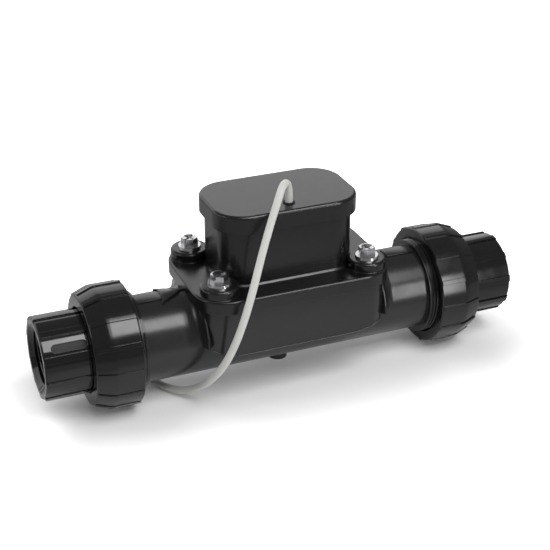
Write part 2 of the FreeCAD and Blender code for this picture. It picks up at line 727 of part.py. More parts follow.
def make_rotor():
    """Paddle wheel: hub with flat blades, each with a magnet pocket along its tip."""
    body = new_body("rotor", SHAFT_AXIS)
    width = "2 * @rotor_half_width"
    sketch = new_sketch(body, "XZ_Plane", "HubSection", "-@rotor_half_width")
    circle(sketch, "@rotor_hub")
    pad(body, sketch, "Hub", width)
    sketch = new_sketch(body, "XZ_Plane", "BladeSection", "-@rotor_half_width")
    half = "(@blade_thickness / 2)"
    outline(sketch, [("0", f"-{half}"), ("@tip_circle", f"-{half}"), ("@tip_circle", half),
                     ("0", half)])
    blade = pad(body, sketch, "Blade", width)
    sketch = new_sketch(body, "XZ_Plane", "TipSection", "-@rotor_half_width")
    circle(sketch, "@tip_radius", "@tip_circle", "0")
    tip = pad(body, sketch, "Tip", width)
    sketch = new_sketch(body, "XZ_Plane", "MagnetSection", "-@rotor_half_width")
    circle(sketch, "@magnet_radius", "@tip_circle", "0")
    hole = pocket(body, sketch, "MagnetHole", width, reverse=True)
    ring_of(body, [blade, tip, hole], "Blades", "Y_Axis", "@rotor_blades")
    sketch = new_sketch(body, "XZ_Plane", "ShaftHoleSection", "-@rotor_half_width")
    circle(sketch, "(@shaft_radius + @shaft_gap)")
    pocket(body, sketch, "ShaftHole", width, reverse=True)
    return body


def make_magnets():
    """One bar magnet in each blade tip."""
    bars = []
    for number in range(round(value_of("@rotor_blades"))):
        angle = f"{number} * 360deg / @rotor_blades"
        bars.append(rod(f"magnet_{number + 1}", "@magnet_radius", "2 * @rotor_half_width",
                        f"@tip_circle * cos({angle})", "-@rotor_half_width",
                        f"{SHAFT_AXIS} + @tip_circle * sin({angle})", REARWARD))
    return group("rotor_magnets", bars)


def block(label, length, width, height, z_text):
    """Box centred over the pipe, standing at a height."""
    box = doc.addObject("Part::Box", label)
    box.Label = label
    tie(box, "Length", length)
    tie(box, "Width", width)
    tie(box, "Height", height)
    tie(box, "Placement.Base.x", f"-{length} / 2")
    tie(box, "Placement.Base.y", f"-{width} / 2")
    tie(box, "Placement.Base.z", z_text)
    return box


def make_potting():
    """Resin over the board, filling the tower's foot."""
    body = new_body("potting")
    sketch = new_sketch(body, "XY_Plane", "PottingPlan", f"{BOARD_SEAT} + @board_thickness")
    cavity_outline(sketch)
    pad(body, sketch, "Potting", "@potting_height")
    return body


# The cable's route, millimetres in the part's frame, from its exit to the coil.
CABLE_EXIT = (0.0, -value_of("@cable_front"),
              value_of(f"{AXIS_HEIGHT} + {LID_TOP} + @grommet_lip_height"))
CABLE_ROUTE = [
    CABLE_EXIT, (0.0, -15.3, 110.6), (-2.3, -17.9, 116.4), (-6.9, -22.8, 116.4),
    (-10.6, -26.4, 110.8), (-15.6, -29.9, 102.0), (-23.0, -35.4, 87.0), (-30.0, -40.8, 70.6),
    (-36.2, -43.4, 54.9), (-41.6, -41.9, 39.4), (-46.6, -37.2, 26.2), (-52.0, -27.4, 13.6),
    (-57.8, -16.4, 5.2), (-64.6, -6.8, 2.2), (-71.0, 6.0, 2.1), (-72.2, 22.6, 2.1),
    (-63.6, 37.2, 2.1), (-46.2, 46.6, 2.1), (-24.0, 49.6, 2.2), (-3.0, 49.4, 2.4),
    (16.0, 49.0, 2.7),
]
TAIL_ROUTE = [(44.0, 49.0, 6.8), (58.0, 49.0, 4.5), (73.0, 49.8, 2.2), (89.0, 52.4, 2.1)]


def make_cord(label, route):
    """Tube along straight runs joined by tangent arcs, each as large as its runs allow."""
    points = [Vector(*point) for point in route]
    edges = []
    radii = []
    start = points[0]
    for before, corner, after in zip(points, points[1:], points[2:]):
        inward, outward = before - corner, after - corner
        shorter = min(inward.Length, outward.Length)
        turn = math.pi - inward.getAngle(outward)
        cut = 0.45 * shorter
        radius = cut / math.tan(turn / 2)
        inward.normalize()
        outward.normalize()
        enter, leave = corner + inward * cut, corner + outward * cut
        bisector = (inward + outward).normalize()
        centre = corner + bisector * (radius / math.cos(turn / 2))
        edges.append(Part.LineSegment(start, enter).toShape())
        edges.append(Part.Arc(enter, centre - bisector * radius, leave).toShape())
        radii.append(round(radius, 1))
        start = leave
    edges.append(Part.LineSegment(start, points[-1]).toShape())
    path = Part.Wire(edges)
    radius = value_of("@cable_radius")
    section = Part.Wire(Part.makeCircle(radius, points[0], points[1] - points[0]))
    tube = doc.addObject("Part::Feature", label)
    tube.Label = label
    tube.Shape = path.makePipeShell([section], True, True)
    tube.Placement = Placement()
    ratio = tube.Shape.Volume / (math.pi * radius ** 2 * path.Length)
    print(label, "length", round(path.Length, 1), "radii", radii, "volume ratio", round(ratio, 4))
    return tube


def make_coil():
    """Outer shape of the wound-up lead, resting on its tie."""
    hoops = []
    for name, radius in (("coil_rim", "@coil_outer"), ("coil_eye", "@coil_inner")):
        hoops.append(rod(name, radius, "@coil_height", "@coil_x", "@coil_y", "@tie_thickness",
                         UPRIGHT))
    coil = doc.addObject("Part::Cut", "cable_coil")
    coil.Label = "cable_coil"
    coil.Base, coil.Tool = hoops
    return coil


def make_coil_tie():
    """Strap round the coil's rear."""
    frames = []
    for name, grow in (("tie_outside", "@tie_thickness"), ("tie_inside", "0")):
        box = doc.addObject("Part::Box", name)
        tie(box, "Length", "@tie_width")
        tie(box, "Width", f"@coil_outer - @coil_inner + 2 * (@tie_gap + {grow})")
        tie(box, "Height", f"@coil_height + 2 * {grow}")
        tie(box, "Placement.Base.x", "@coil_x - @tie_width / 2")
        tie(box, "Placement.Base.y", f"@coil_y + @coil_inner - @tie_gap - {grow}")
        tie(box, "Placement.Base.z", f"@tie_thickness - {grow}")
        frames.append(box)
    strap = doc.addObject("Part::Cut", "coil_tie")
    strap.Label = "coil_tie"
    strap.Base, strap.Tool = frames
    return strap


def make_lead(label, side):
    """Bare core that leaves the jacket's end, beside the other one."""
    before, end = (Vector(*point) for point in TAIL_ROUTE[-2:])
    heading = (end - before).normalize()
    across = heading.cross(Vector(0, 0, 1)).normalize()
    core = doc.addObject("Part::Cylinder", label)
    core.Label = label
    tie(core, "Radius", "@lead_radius")
    tie(core, "Height", "@lead_length")
    start = end + across * (side * value_of("@lead_offset"))
    core.Placement = Placement(start, Rotation(Vector(0, 0, 1), heading))
    return core


pieces = [
    make_flow_body(),
    make_gasket(),
    make_cover(),
    make_lid(),
    make_grommet(),
    four_of("cover_screws", make_screw()),
    four_of("threaded_inserts", make_insert()),
    make_nut("outlet_union_nut", 0),
    make_nut("inlet_union_nut", 180),
    make_tailpiece("outlet_tailpiece", 0),
    make_tailpiece("inlet_tailpiece", 180),
    make_o_ring("outlet_o_ring", 1),
    make_o_ring("inlet_o_ring", -1),
    make_carrier(),
    make_bushes(),
    rod("rotor_shaft", "@shaft_radius", f"2 * {CHEEK_OUTSIDE}", "0", f"-{CHEEK_OUTSIDE}",
        SHAFT_AXIS, REARWARD),
    make_rotor(),
    make_magnets(),
    block("circuit_board", "@board_length", "@board_width", "@board_thickness",
          f"{AXIS_HEIGHT} + {BOARD_SEAT}"),
    block("hall_sensor", "@sensor_length", "@sensor_width", "@sensor_height",
          f"{AXIS_HEIGHT} + {BOARD_SEAT} - @sensor_height"),
    make_potting(),
    rod("cable_riser", "@cable_radius",
        f"{LID_TOP} + @grommet_lip_height - {BOARD_SEAT} - @board_thickness - @potting_height",
        "0", "-@cable_front",
        f"{AXIS_HEIGHT} + {BOARD_SEAT} + @board_thickness + @potting_height", UPRIGHT),
    make_cord("cable", CABLE_ROUTE),
    make_coil(),
    make_coil_tie(),
    make_cord("cable_tail", TAIL_ROUTE),
    make_lead("lead_red", 1),
    make_lead("lead_black", -1),
]
doc.recompute()

for item in doc.Objects:
    if "Invalid" in item.State or "Error" in item.State:
        raise RuntimeError(f"{item.Label} did not build: {item.State}")
for piece in pieces:
    if piece.Shape.isNull() or not piece.Shape.Solids or not piece.Shape.isValid():
        raise RuntimeError(f"{piece.Label} has no sound shape")

os.makedirs("parts", exist_ok=True)
for piece in pieces:
    piece.Shape.exportStep(f"parts/{piece.Label}.step")
    box = piece.Shape.BoundBox
    print(piece.Label, len(piece.Shape.Solids), round(piece.Shape.Volume / 1000, 2), "cm3",
          [round(v, 1) for v in (box.XMin, box.YMin, box.ZMin, box.XMax, box.YMax, box.ZMax)])
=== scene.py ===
# %% [markdown]
# An irrigation flow sensor: a black pipe body with a screwed-on cover, a union at each end
# and a light grey lead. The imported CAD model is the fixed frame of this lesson. It already
# has every rigid piece at its true size and place, so this script only dresses it: better
# materials, the lead as a real cord, screw threads, raised signs, and the studio around it.

# %% Load the frame
import math

import bmesh
import bpy
from mathutils import Matrix, Vector


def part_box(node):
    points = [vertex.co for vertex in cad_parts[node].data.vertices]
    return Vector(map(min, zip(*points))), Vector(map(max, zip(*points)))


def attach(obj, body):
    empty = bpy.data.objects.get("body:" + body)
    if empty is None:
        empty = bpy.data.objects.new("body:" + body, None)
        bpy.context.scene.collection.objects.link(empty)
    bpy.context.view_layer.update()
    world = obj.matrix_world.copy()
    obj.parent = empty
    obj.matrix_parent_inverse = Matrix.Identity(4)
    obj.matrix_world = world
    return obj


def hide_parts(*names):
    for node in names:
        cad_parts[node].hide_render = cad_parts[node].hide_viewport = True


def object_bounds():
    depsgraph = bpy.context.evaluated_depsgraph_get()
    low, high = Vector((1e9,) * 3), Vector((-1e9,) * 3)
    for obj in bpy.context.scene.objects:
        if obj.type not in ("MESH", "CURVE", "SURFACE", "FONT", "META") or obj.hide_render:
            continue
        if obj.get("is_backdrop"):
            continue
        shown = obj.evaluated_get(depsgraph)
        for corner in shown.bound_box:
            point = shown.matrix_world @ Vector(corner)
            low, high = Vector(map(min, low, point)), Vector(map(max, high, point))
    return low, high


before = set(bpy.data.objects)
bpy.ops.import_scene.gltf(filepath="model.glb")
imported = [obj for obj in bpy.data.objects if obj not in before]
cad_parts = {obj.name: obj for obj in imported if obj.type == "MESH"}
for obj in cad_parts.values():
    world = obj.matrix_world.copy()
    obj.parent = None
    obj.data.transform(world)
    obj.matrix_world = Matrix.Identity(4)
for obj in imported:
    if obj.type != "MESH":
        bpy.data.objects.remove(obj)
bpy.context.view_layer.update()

# %% [markdown]
# Blender counts in metres, and the drawing of a small fitting counts in millimetres. One
# helper keeps the numbers of this script readable: sizes are written in millimetres and
# turned to metres where Blender gets them. The pipe's centre line is the other thing that
# nearly every piece needs, and the round flange of a tailpiece gives its height.

# %% Millimetres and the pipe's centre line
def mm(*sizes):
    """Millimetres as metres: one number, or a point."""
    return sizes[0] / 1000 if len(sizes) == 1 else Vector(sizes) / 1000


tail_low, tail_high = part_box("inlet_tailpiece")
AXIS = (tail_low.z + tail_high.z) * 500
print("pipe axis at", round(AXIS, 3), "mm")

# %% [markdown]
# The camera comes first, because everything is judged through it. The photograph looks down
# on the sensor from its front left with a long lens, so lines along the pipe stay nearly
# parallel. The three directions below are the picture's right, up and backward axes, which
# are the columns of a camera's matrix.

# %% Camera at the photograph's angle
LENS_LENGTH, SENSOR_WIDTH, NEAREST = 85.82, 36, 0.01
CAMERA_PLACE = (-0.23823, -0.57775, 0.37619)
right = Vector((0.9253, -0.3793, 0.0)).normalized()
backward = Vector((-0.3373, -0.8228, 0.4575)).normalized()
upward = backward.cross(right)
lens = bpy.data.cameras.new("photo_camera")
lens.lens = LENS_LENGTH
lens.sensor_width = SENSOR_WIDTH
lens.clip_start = NEAREST
camera = bpy.data.objects.new("photo_camera", lens)
turn = Matrix((right, upward, backward)).transposed().to_4x4()
camera.matrix_world = Matrix.Translation(CAMERA_PLACE) @ turn
bpy.context.scene.collection.objects.link(camera)
bpy.context.scene.camera = camera
print("camera looks along", [round(-v, 3) for v in backward])

# %% [markdown]
# The lead is two-core cable with a light grey jacket, 4 mm thick and about 1.16 m long. It
# stands out of the lid, bends over the front, falls past the cover, and goes under the pipe
# to the back. There the length that nobody sees is wound up in two layers and tied. A
# simulated rope would never settle on the photograph's line, so the route is drawn: its
# points are the control points of one NURBS spline, and the coil's turns are more points of
# the same spline, sixteen to a turn.

# %% Control points of the lead
LEAD_EXIT = (0.0, -15.3, 104.118)
LEAD_ROUTE = [
    LEAD_EXIT, (0.0, -15.3, 110.6), (-2.3, -17.9, 116.4), (-6.9, -22.8, 116.4),
    (-10.6, -26.4, 110.8), (-15.6, -29.9, 102.0), (-23.0, -35.4, 87.0), (-30.0, -40.8, 70.6),
    (-36.2, -43.4, 54.9), (-41.6, -41.9, 39.4), (-46.6, -37.2, 26.2), (-52.0, -27.4, 13.6),
    (-57.8, -16.4, 5.2), (-64.6, -6.8, 2.2), (-71.0, 6.0, 2.1), (-72.2, 22.6, 2.1),
    (-63.6, 37.2, 2.1), (-46.2, 46.6, 2.1), (-24.0, 49.6, 2.2), (-3.0, 49.4, 2.4),
    (16.0, 49.0, 2.7),
]
LEAD_TAIL = [(44.0, 49.0, 6.8), (58.0, 49.0, 4.5), (73.0, 49.8, 2.2), (89.0, 52.4, 2.1)]
COIL_CENTRE, COIL_TURNS, TURN_POINTS = (30.0, 82.0), 5.0, 16
COIL_RADIUS, COIL_NARROWING, COIL_FLOOR, LAYER_RISE = 33.0, 13.3, 2.7, 4.1
LAYER_TURNS, CLIMB_TURNS = 2.2, 0.6


def coil_point(turns):
    """Point of the coil: in along the floor, up at the eye, and out on the second layer."""
    inward = min(turns / LAYER_TURNS, 1.0)
    outward = max((turns - LAYER_TURNS - CLIMB_TURNS) / LAYER_TURNS, 0.0)
    radius = COIL_RADIUS - COIL_NARROWING * inward + COIL_NARROWING * outward
    rise = min(max((turns - LAYER_TURNS) / CLIMB_TURNS, 0.0), 1.0)
    height = COIL_FLOOR + LAYER_RISE * rise * rise * (3 - 2 * rise)
    angle = math.tau * (turns - 0.25)
    return (COIL_CENTRE[0] + radius * math.cos(angle),
            COIL_CENTRE[1] + radius * math.sin(angle), height)


steps = round(COIL_TURNS * TURN_POINTS)
coil = [coil_point(step / TURN_POINTS) for step in range(steps + 1)]
lead_points = LEAD_ROUTE + coil + LEAD_TAIL
print("lead has", len(lead_points), "control points")

# %% The lead as one bevelled curve
LEAD_DIAMETER = 4.0
lead_curve = bpy.data.curves.new("supply_lead", "CURVE")
lead_curve.dimensions = "3D"
lead_curve.bevel_depth = mm(LEAD_DIAMETER / 2)
lead_curve.bevel_resolution = 5
lead_curve.use_fill_caps = True
lead_curve.resolution_u = 8
spline = lead_curve.splines.new("NURBS")
spline.points.add(len(lead_points) - 1)
for point, place in zip(spline.points, lead_points):
    point.co = (*mm(*place), 1.0)
spline.order_u = 3
spline.use_endpoint_u = True
supply_lead = bpy.data.objects.new("supply_lead", lead_curve)
bpy.context.scene.collection.objects.link(supply_lead)
print("lead spline is", round(spline.calc_length(), 3), "m long")

# %% [markdown]
# Materials are node trees. Colours are easiest to pick as the hex codes that a picture shows,
# and the renderer wants linear light, so one function turns one into the other. A second
# small function adds a node with its settings and its links, which keeps each tree a short
# list. Patterns read Object coordinates, in metres, so a pattern that repeats every s
# millimetres needs a scale of 1000 / s.

# %% Colours and nodes
def linear(code):
    """sRGB hex colour as linear red, green, blue and alpha."""
    parts = [int(code[i:i + 2], 16) / 255 for i in (1, 3, 5)]
    return (*[p / 12.92 if p <= 0.04045 else ((p + 0.055) / 1.055) ** 2.4 for p in parts], 1.0)


def add(tree, kind, settings=None, inputs=None):
    """Add a node; an input is a value, a (node, output) pair to link, or a list of pairs."""
    node = tree.nodes.new(kind)
    for name, value in (settings or {}).items():
        setattr(node, name, value)
    for name, value in (inputs or {}).items():
        sources = value if isinstance(value, list) else [value]
        for source in sources:
            if isinstance(source, tuple) and isinstance(source[0], bpy.types.Node):
                tree.links.new(source[0].outputs[source[1]], node.inputs[name])
            else:
                node.inputs[name].default_value = source
    return node


def empty_material(name):
    """New material with an empty node tree, and that tree."""
    material = bpy.data.materials.new(name)
    material.use_nodes = True
    material.node_tree.nodes.clear()
    return material, material.node_tree


print("black plastic is linear", [round(v, 4) for v in linear("#161617")])

# %% [markdown]
# Nearly all of this object is black moulded plastic, in five finishes: the satin body, the
# fine-grained cover and lid, the glossy hubs, the semi-gloss nuts, and the matt floor of a
# recess. What makes black plastic look real is not its colour but its reflections: they
# wander a little where the skin of the moulding isn't even. So the tree has three patterns:
# broad flow marks in the colour, clouds in the roughness, and the fine grain of the mould's
# wall in the bump. No moulded edge is razor sharp either: a Bevel node rounds every edge by a
# fraction of a millimetre for the light, and that draws the thin bright lines that outline a
# black moulding.

# %% Black plastics
NOISE_LOW, NOISE_HIGH, BUMP_DEPTH, CLOUDS_PER_MARK = 0.3, 0.7, 0.05, 5


def moulded_plastic(name, deep, pale, gloss, marks, grain, relief, edge=0.3):
    """Injection-moulded plastic; sizes in millimetres, gloss as low and high roughness."""
    material, tree = empty_material(name)
    place = add(tree, "ShaderNodeTexCoord")
    flow = add(tree, "ShaderNodeTexNoise", None, {
        "Vector": (place, "Object"), "Scale": 1000 / marks, "Detail": 3.0, "Distortion": 0.6})
    ramp = add(tree, "ShaderNodeValToRGB", None, {"Fac": (flow, "Fac")})
    ramp.color_ramp.elements[0].color = linear(deep)
    ramp.color_ramp.elements[1].color = linear(pale)
    clouds = add(tree, "ShaderNodeTexNoise", None, {
        "Vector": (place, "Object"), "Scale": 1000 / (marks / CLOUDS_PER_MARK), "Detail": 2.0})
    shine = add(tree, "ShaderNodeMapRange", None, {
        "Value": (clouds, "Fac"), "From Min": NOISE_LOW, "From Max": NOISE_HIGH,
        "To Min": gloss[0], "To Max": gloss[1]})
    skin = add(tree, "ShaderNodeTexNoise", None, {
        "Vector": (place, "Object"), "Scale": 1000 / grain, "Detail": 2.0})
    rounded = add(tree, "ShaderNodeBevel", {"samples": 6}, {"Radius": mm(edge)})
    bump = add(tree, "ShaderNodeBump", None, {
        "Height": (skin, "Fac"), "Strength": relief, "Distance": mm(BUMP_DEPTH),
        "Normal": (rounded, "Normal")})
    shader = add(tree, "ShaderNodeBsdfPrincipled", None, {
        "Base Color": (ramp, "Color"), "Roughness": (shine, "Result"), "Normal": (bump, "Normal"),
        "IOR": 1.5})
    add(tree, "ShaderNodeOutputMaterial", None, {"Surface": (shader, "BSDF")})
    return material


# Satin: broad soft highlights along the pipe, a skin that is nearly smooth.
body_plastic = moulded_plastic("nylon_satin_moulded", "#18181a", "#1f1f20", (0.23, 0.27),
                               marks=40.0, grain=0.9, relief=0.07, edge=0.4)
# Fine-grained and a little darker: the lid's top goes evenly grey under the light behind it.
cover_plastic = moulded_plastic("nylon_fine_grained", "#101011", "#151516", (0.22, 0.26),
                                marks=34.0, grain=0.7, relief=0.10, edge=0.4)
# Glossy: crisp reflections of the lamps, with clear edges.
union_plastic = moulded_plastic("pvc_polished_moulded", "#0e0e0f", "#131314", (0.08, 0.11),
                                marks=30.0, grain=1.4, relief=0.02)
# Semi-gloss: the nuts' highlights are as bright, but their edges melt into the black.
nut_plastic = moulded_plastic("pvc_semi_gloss_moulded", "#0e0e0f", "#131314", (0.15, 0.19),
                              marks=30.0, grain=1.4, relief=0.03)
# Matt: the spark-eroded floor of a recess, which swallows the highlight around it.
recess_plastic = moulded_plastic("pvc_spark_eroded", "#0f0f10", "#161617", (0.55, 0.62),
                                 marks=6.0, grain=0.5, relief=0.35)
black_plastics = (body_plastic, cover_plastic, union_plastic, nut_plastic, recess_plastic)
print("made", [material.name for material in black_plastics])

# %% [markdown]
# The small pieces have finishes of their own. Metals get one recipe: a metal has no colour
# under its surface, so only its tint, its polish and the fine marks of its tools show. The
# lead's jacket, the seals, the board and the paddle wheel are plastics again, and take the
# same recipe as the black mouldings with other colours.

# %% Metals
def worked_metal(name, dark, bright, gloss, marks):
    """Bare metal with tool marks; marks is their spacing in millimetres."""
    material, tree = empty_material(name)
    place = add(tree, "ShaderNodeTexCoord")
    stretch = add(tree, "ShaderNodeMapping", None, {
        "Vector": (place, "Object"), "Scale": (1.0, 1.0, 0.25)})
    lines = add(tree, "ShaderNodeTexNoise", None, {
        "Vector": (stretch, "Vector"), "Scale": 1000 / marks, "Detail": 4.0})
    ramp = add(tree, "ShaderNodeValToRGB", None, {"Fac": (lines, "Fac")})
    ramp.color_ramp.elements[0].color = linear(dark)
    ramp.color_ramp.elements[1].color = linear(bright)
    shine = add(tree, "ShaderNodeMapRange", None, {
        "Value": (lines, "Fac"), "From Min": NOISE_LOW, "From Max": NOISE_HIGH,
        "To Min": gloss[0], "To Max": gloss[1]})
    bump = add(tree, "ShaderNodeBump", None, {
        "Height": (lines, "Fac"), "Strength": 0.12, "Distance": mm(BUMP_DEPTH)})
    shader = add(tree, "ShaderNodeBsdfPrincipled", None, {
        "Base Color": (ramp, "Color"), "Roughness": (shine, "Result"),
        "Normal": (bump, "Normal"), "Metallic": 1.0})
    add(tree, "ShaderNodeOutputMaterial", None, {"Surface": (shader, "BSDF")})
    return material


# Cold-headed stainless: bright, with hard dark and light reflections.
screw_steel = worked_metal("stainless_cold_headed", "#bcbcbe", "#d6d6d8", (0.17, 0.23), marks=1.2)
# Ground shaft: a finer, duller line.
shaft_steel = worked_metal("stainless_ground", "#b4b4b8", "#cfcfd2", (0.25, 0.35), marks=0.8)
# Turned brass of the screw inserts: a warm yellow, with the fine marks of the lathe.
insert_brass = worked_metal("brass_turned", "#b8934a", "#d3b267", (0.22, 0.32), marks=0.7)
# Drawn bare copper of the strands: reddish, with a soft gleam.
strand_copper = worked_metal("copper_drawn", "#a8623c", "#c98158", (0.25, 0.35), marks=0.6)
# Nickel plate over the magnets: a darker grey than the steel.
magnet_metal = worked_metal("nickel_plated", "#8f8f93", "#a9a9ad", (0.2, 0.3), marks=1.0)
metals = (screw_steel, shaft_steel, insert_brass, strand_copper, magnet_metal)
print("made", [material.name for material in metals])

# %% Other plastics and rubber
# Extruded PVC jacket: pale, dull, with the faint unevenness of the pull.
cable_jacket = moulded_plastic("pvc_jacket_extruded", "#c2c2be", "#d0d0cc", (0.42, 0.52),
                               marks=14.0, grain=1.1, relief=0.10)
# Rubber drinks light: hardly a highlight.
seal_rubber = moulded_plastic("epdm_rubber_moulded", "#131313", "#1b1b1b", (0.62, 0.74),
                              marks=12.0, grain=0.8, relief=0.25)
# Natural acetal of the paddle wheel: milky white with a waxy gleam.
wheel_plastic = moulded_plastic("acetal_natural", "#c3c2bd", "#d4d3cf", (0.32, 0.40),
                                marks=18.0, grain=0.9, relief=0.10)
# Turned PTFE: whiter than acetal, and duller.
bush_plastic = moulded_plastic("ptfe_turned", "#e6e4de", "#efede8", (0.45, 0.55),
                               marks=8.0, grain=0.7, relief=0.1)
# Solder mask on a glass-fibre board: deep green, uneven as where copper runs under it.
board_green = moulded_plastic("fr4_solder_mask", "#1c4a2d", "#2a6a41", (0.25, 0.4),
                              marks=6.0, grain=1.2, relief=0.2)
# Moulded epoxy of a chip: flat black with a sandy grain.
chip_black = moulded_plastic("epoxy_package", "#141414", "#1e1e1e", (0.5, 0.6),
                             marks=3.0, grain=0.5, relief=0.2)
# Poured resin: black and wet-looking, with slow waves in its skin.
resin_black = moulded_plastic("polyurethane_poured", "#0d0d0d", "#141414", (0.08, 0.14),
                              marks=30.0, grain=4.0, relief=0.08)
# Nylon strap of the tie: dark, with a dull sheen.
tie_plastic = moulded_plastic("nylon_strap", "#141414", "#1d1d1d", (0.4, 0.5),
                              marks=10.0, grain=0.8, relief=0.1)
# Extruded insulation of the two cores: plain colours with a low sheen.
core_red = moulded_plastic("pvc_core_red", "#a3201d", "#b52b26", (0.38, 0.46),
                           marks=8.0, grain=0.8, relief=0.1)
core_black = moulded_plastic("pvc_core_black", "#121212", "#1a1a1a", (0.38, 0.46),
                             marks=8.0, grain=0.8, relief=0.1)
print("materials so far", len(bpy.data.materials))

# %% [markdown]
# Each CAD node already has a plain material from model.glb. Its object keeps its mesh and
# its place, and only the material in its slots is changed for one of the finishes above.

# %% Finishes on the CAD nodes
FINISHES = {
    body_plastic: ["flow_body"],
    cover_plastic: ["cover", "lid"],
    union_plastic: ["inlet_tailpiece", "outlet_tailpiece"],
    nut_plastic: ["inlet_union_nut", "outlet_union_nut"],
    seal_rubber: ["cover_gasket", "inlet_o_ring", "outlet_o_ring", "cable_grommet"],
    screw_steel: ["cover_screws"],
    insert_brass: ["threaded_inserts"],
    wheel_plastic: ["rotor", "rotor_carrier"],
    bush_plastic: ["shaft_bushes"],
    shaft_steel: ["rotor_shaft"],
    magnet_metal: ["rotor_magnets"],
    board_green: ["circuit_board"],
    chip_black: ["hall_sensor"],
    resin_black: ["potting"],
    cable_jacket: ["cable_riser", "cable", "cable_coil", "cable_tail"],
    tie_plastic: ["coil_tie"],
    core_red: ["lead_red"],
    core_black: ["lead_black"],
}
for finish, names in FINISHES.items():
    for name in names:
        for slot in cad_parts[name].material_slots:
            slot.material = finish
print("finished", sum(len(names) for names in FINISHES.values()), "CAD nodes")

# %% [markdown]
# The lead stands for three plain CAD solids: its visible run, the ring of its coil and its
# tail. It rides on the sensor's body, which it is fixed to.

# %% The lead on its body
lead_curve.materials.append(cable_jacket)
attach(supply_lead, "sensor_body")
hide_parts("cable", "cable_coil", "cable_tail")
print("lead has the finish", cable_jacket.name)

# %% [markdown]
# Threads and screws repeat by a rule, so Geometry Nodes grow them. A tree has named inputs
# for its sizes, and one helper hands them over by each socket's identifier, evaluates the
# object once, and keeps the result as a plain mesh. Faces that meet at a blunt angle are
# shaded as one curve, and sharp edges stay sharp.

# %% Helpers for grown pieces
def new_tree(name, sizes):
    """Geometry tree with named inputs (name: socket type), and its input node."""
    tree = bpy.data.node_groups.new(name, "GeometryNodeTree")
    for label, kind in sizes.items():
        tree.interface.new_socket(label, in_out="INPUT", socket_type=kind)
    tree.interface.new_socket("Geometry", in_out="OUTPUT", socket_type="NodeSocketGeometry")
    return tree, tree.nodes.new("NodeGroupInput")


def finish_tree(tree, inputs, result):
    """Close a tree: real geometry with the material that the input names."""
    real = add(tree, "GeometryNodeRealizeInstances", None, {"Geometry": result})
    dressed = add(tree, "GeometryNodeSetMaterial", None, {
        "Geometry": (real, "Geometry"), "Material": (inputs, "Material")})
    add(tree, "NodeGroupOutput", None, {"Geometry": (dressed, "Geometry")})


def soften(mesh, degrees):
    """Smooth shading up to an angle between faces."""
    mesh.polygons.foreach_set("use_smooth", [True] * len(mesh.polygons))
    mesh.set_sharp_from_angle(angle=math.radians(degrees))


def plain(piece):
    """Turn a piece's modifiers into a plain mesh."""
    graph = bpy.context.evaluated_depsgraph_get()
    mesh = bpy.data.meshes.new_from_object(piece.evaluated_get(graph))
    piece.modifiers.clear()
    piece.data = mesh
    mesh.name = piece.name


def new_piece(name, mesh=None):
    """New object in the scene, with the mesh given or an empty one."""
    piece = bpy.data.objects.new(name, mesh or bpy.data.meshes.new(name))
    bpy.context.scene.collection.objects.link(piece)
    return piece


def grow(name, tree, sizes, degrees=35):
    """Plain mesh that a tree makes with these sizes."""
    piece = new_piece(name)
    modifier = piece.modifiers.new("grow", "NODES")
    modifier.node_group = tree
    for socket in tree.interface.items_tree:
        if socket.in_out == "INPUT":
            modifier[socket.identifier] = sizes[socket.name]
    plain(piece)
    soften(piece.data, degrees)
    print(name, "has", len(piece.data.polygons), "faces")
    return piece


# %% [markdown]
# A pipe thread is one ridge that winds along the pipe. The tree sweeps a small diamond along
# a spiral: half of the diamond sinks into the wall and the other half is the thread's crest.
# Modelled rings would be simpler, but a real thread runs from turn to turn, and that shows
# where it ends.

# %% Thread tree
thread_tree, given = new_tree("screw_thread", {
    "Radius": "NodeSocketFloat", "Pitch": "NodeSocketFloat", "Length": "NodeSocketFloat",
    "Ridge": "NodeSocketFloat", "Start": "NodeSocketVector", "Material": "NodeSocketMaterial"})
turns = add(thread_tree, "ShaderNodeMath", {"operation": "DIVIDE"},
            {0: (given, "Length"), 1: (given, "Pitch")})
path = add(thread_tree, "GeometryNodeCurveSpiral", None, {
    "Resolution": 64, "Rotations": (turns, "Value"), "Start Radius": (given, "Radius"),
    "End Radius": (given, "Radius"), "Height": (given, "Length")})
ridge = add(thread_tree, "GeometryNodeCurvePrimitiveCircle", None,
            {"Resolution": 4, "Radius": (given, "Ridge")})
sweep = add(thread_tree, "GeometryNodeCurveToMesh", None, {
    "Curve": (path, "Curve"), "Profile Curve": (ridge, "Curve"), "Fill Caps": True})
laid = add(thread_tree, "GeometryNodeTransform", None, {
    "Geometry": (sweep, "Mesh"), "Translation": (given, "Start"),
    "Rotation": (0.0, math.pi / 2, 0.0)})
finish_tree(thread_tree, given, (laid, "Geometry"))
print("thread tree has", len(thread_tree.nodes), "nodes")

# %% Threads in the sockets and on the collars
SOCKET_RADIUS, SOCKET_LENGTH, SOCKET_PITCH = 16.0, 18.5, 2.2
SOCKET_MOUTH, SOCKET_RIDGE = 130.2, 0.75
for side, body in (("inlet", "inlet_tail"), ("outlet", "outlet_tail")):
    start = -SOCKET_MOUTH if side == "inlet" else SOCKET_MOUTH - SOCKET_LENGTH
    thread = grow(f"{side}_socket_thread", thread_tree, {
        "Radius": mm(SOCKET_RADIUS), "Pitch": mm(SOCKET_PITCH), "Length": mm(SOCKET_LENGTH),
        "Ridge": mm(SOCKET_RIDGE), "Start": mm(start, 0.0, AXIS), "Material": union_plastic})
    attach(thread, body)

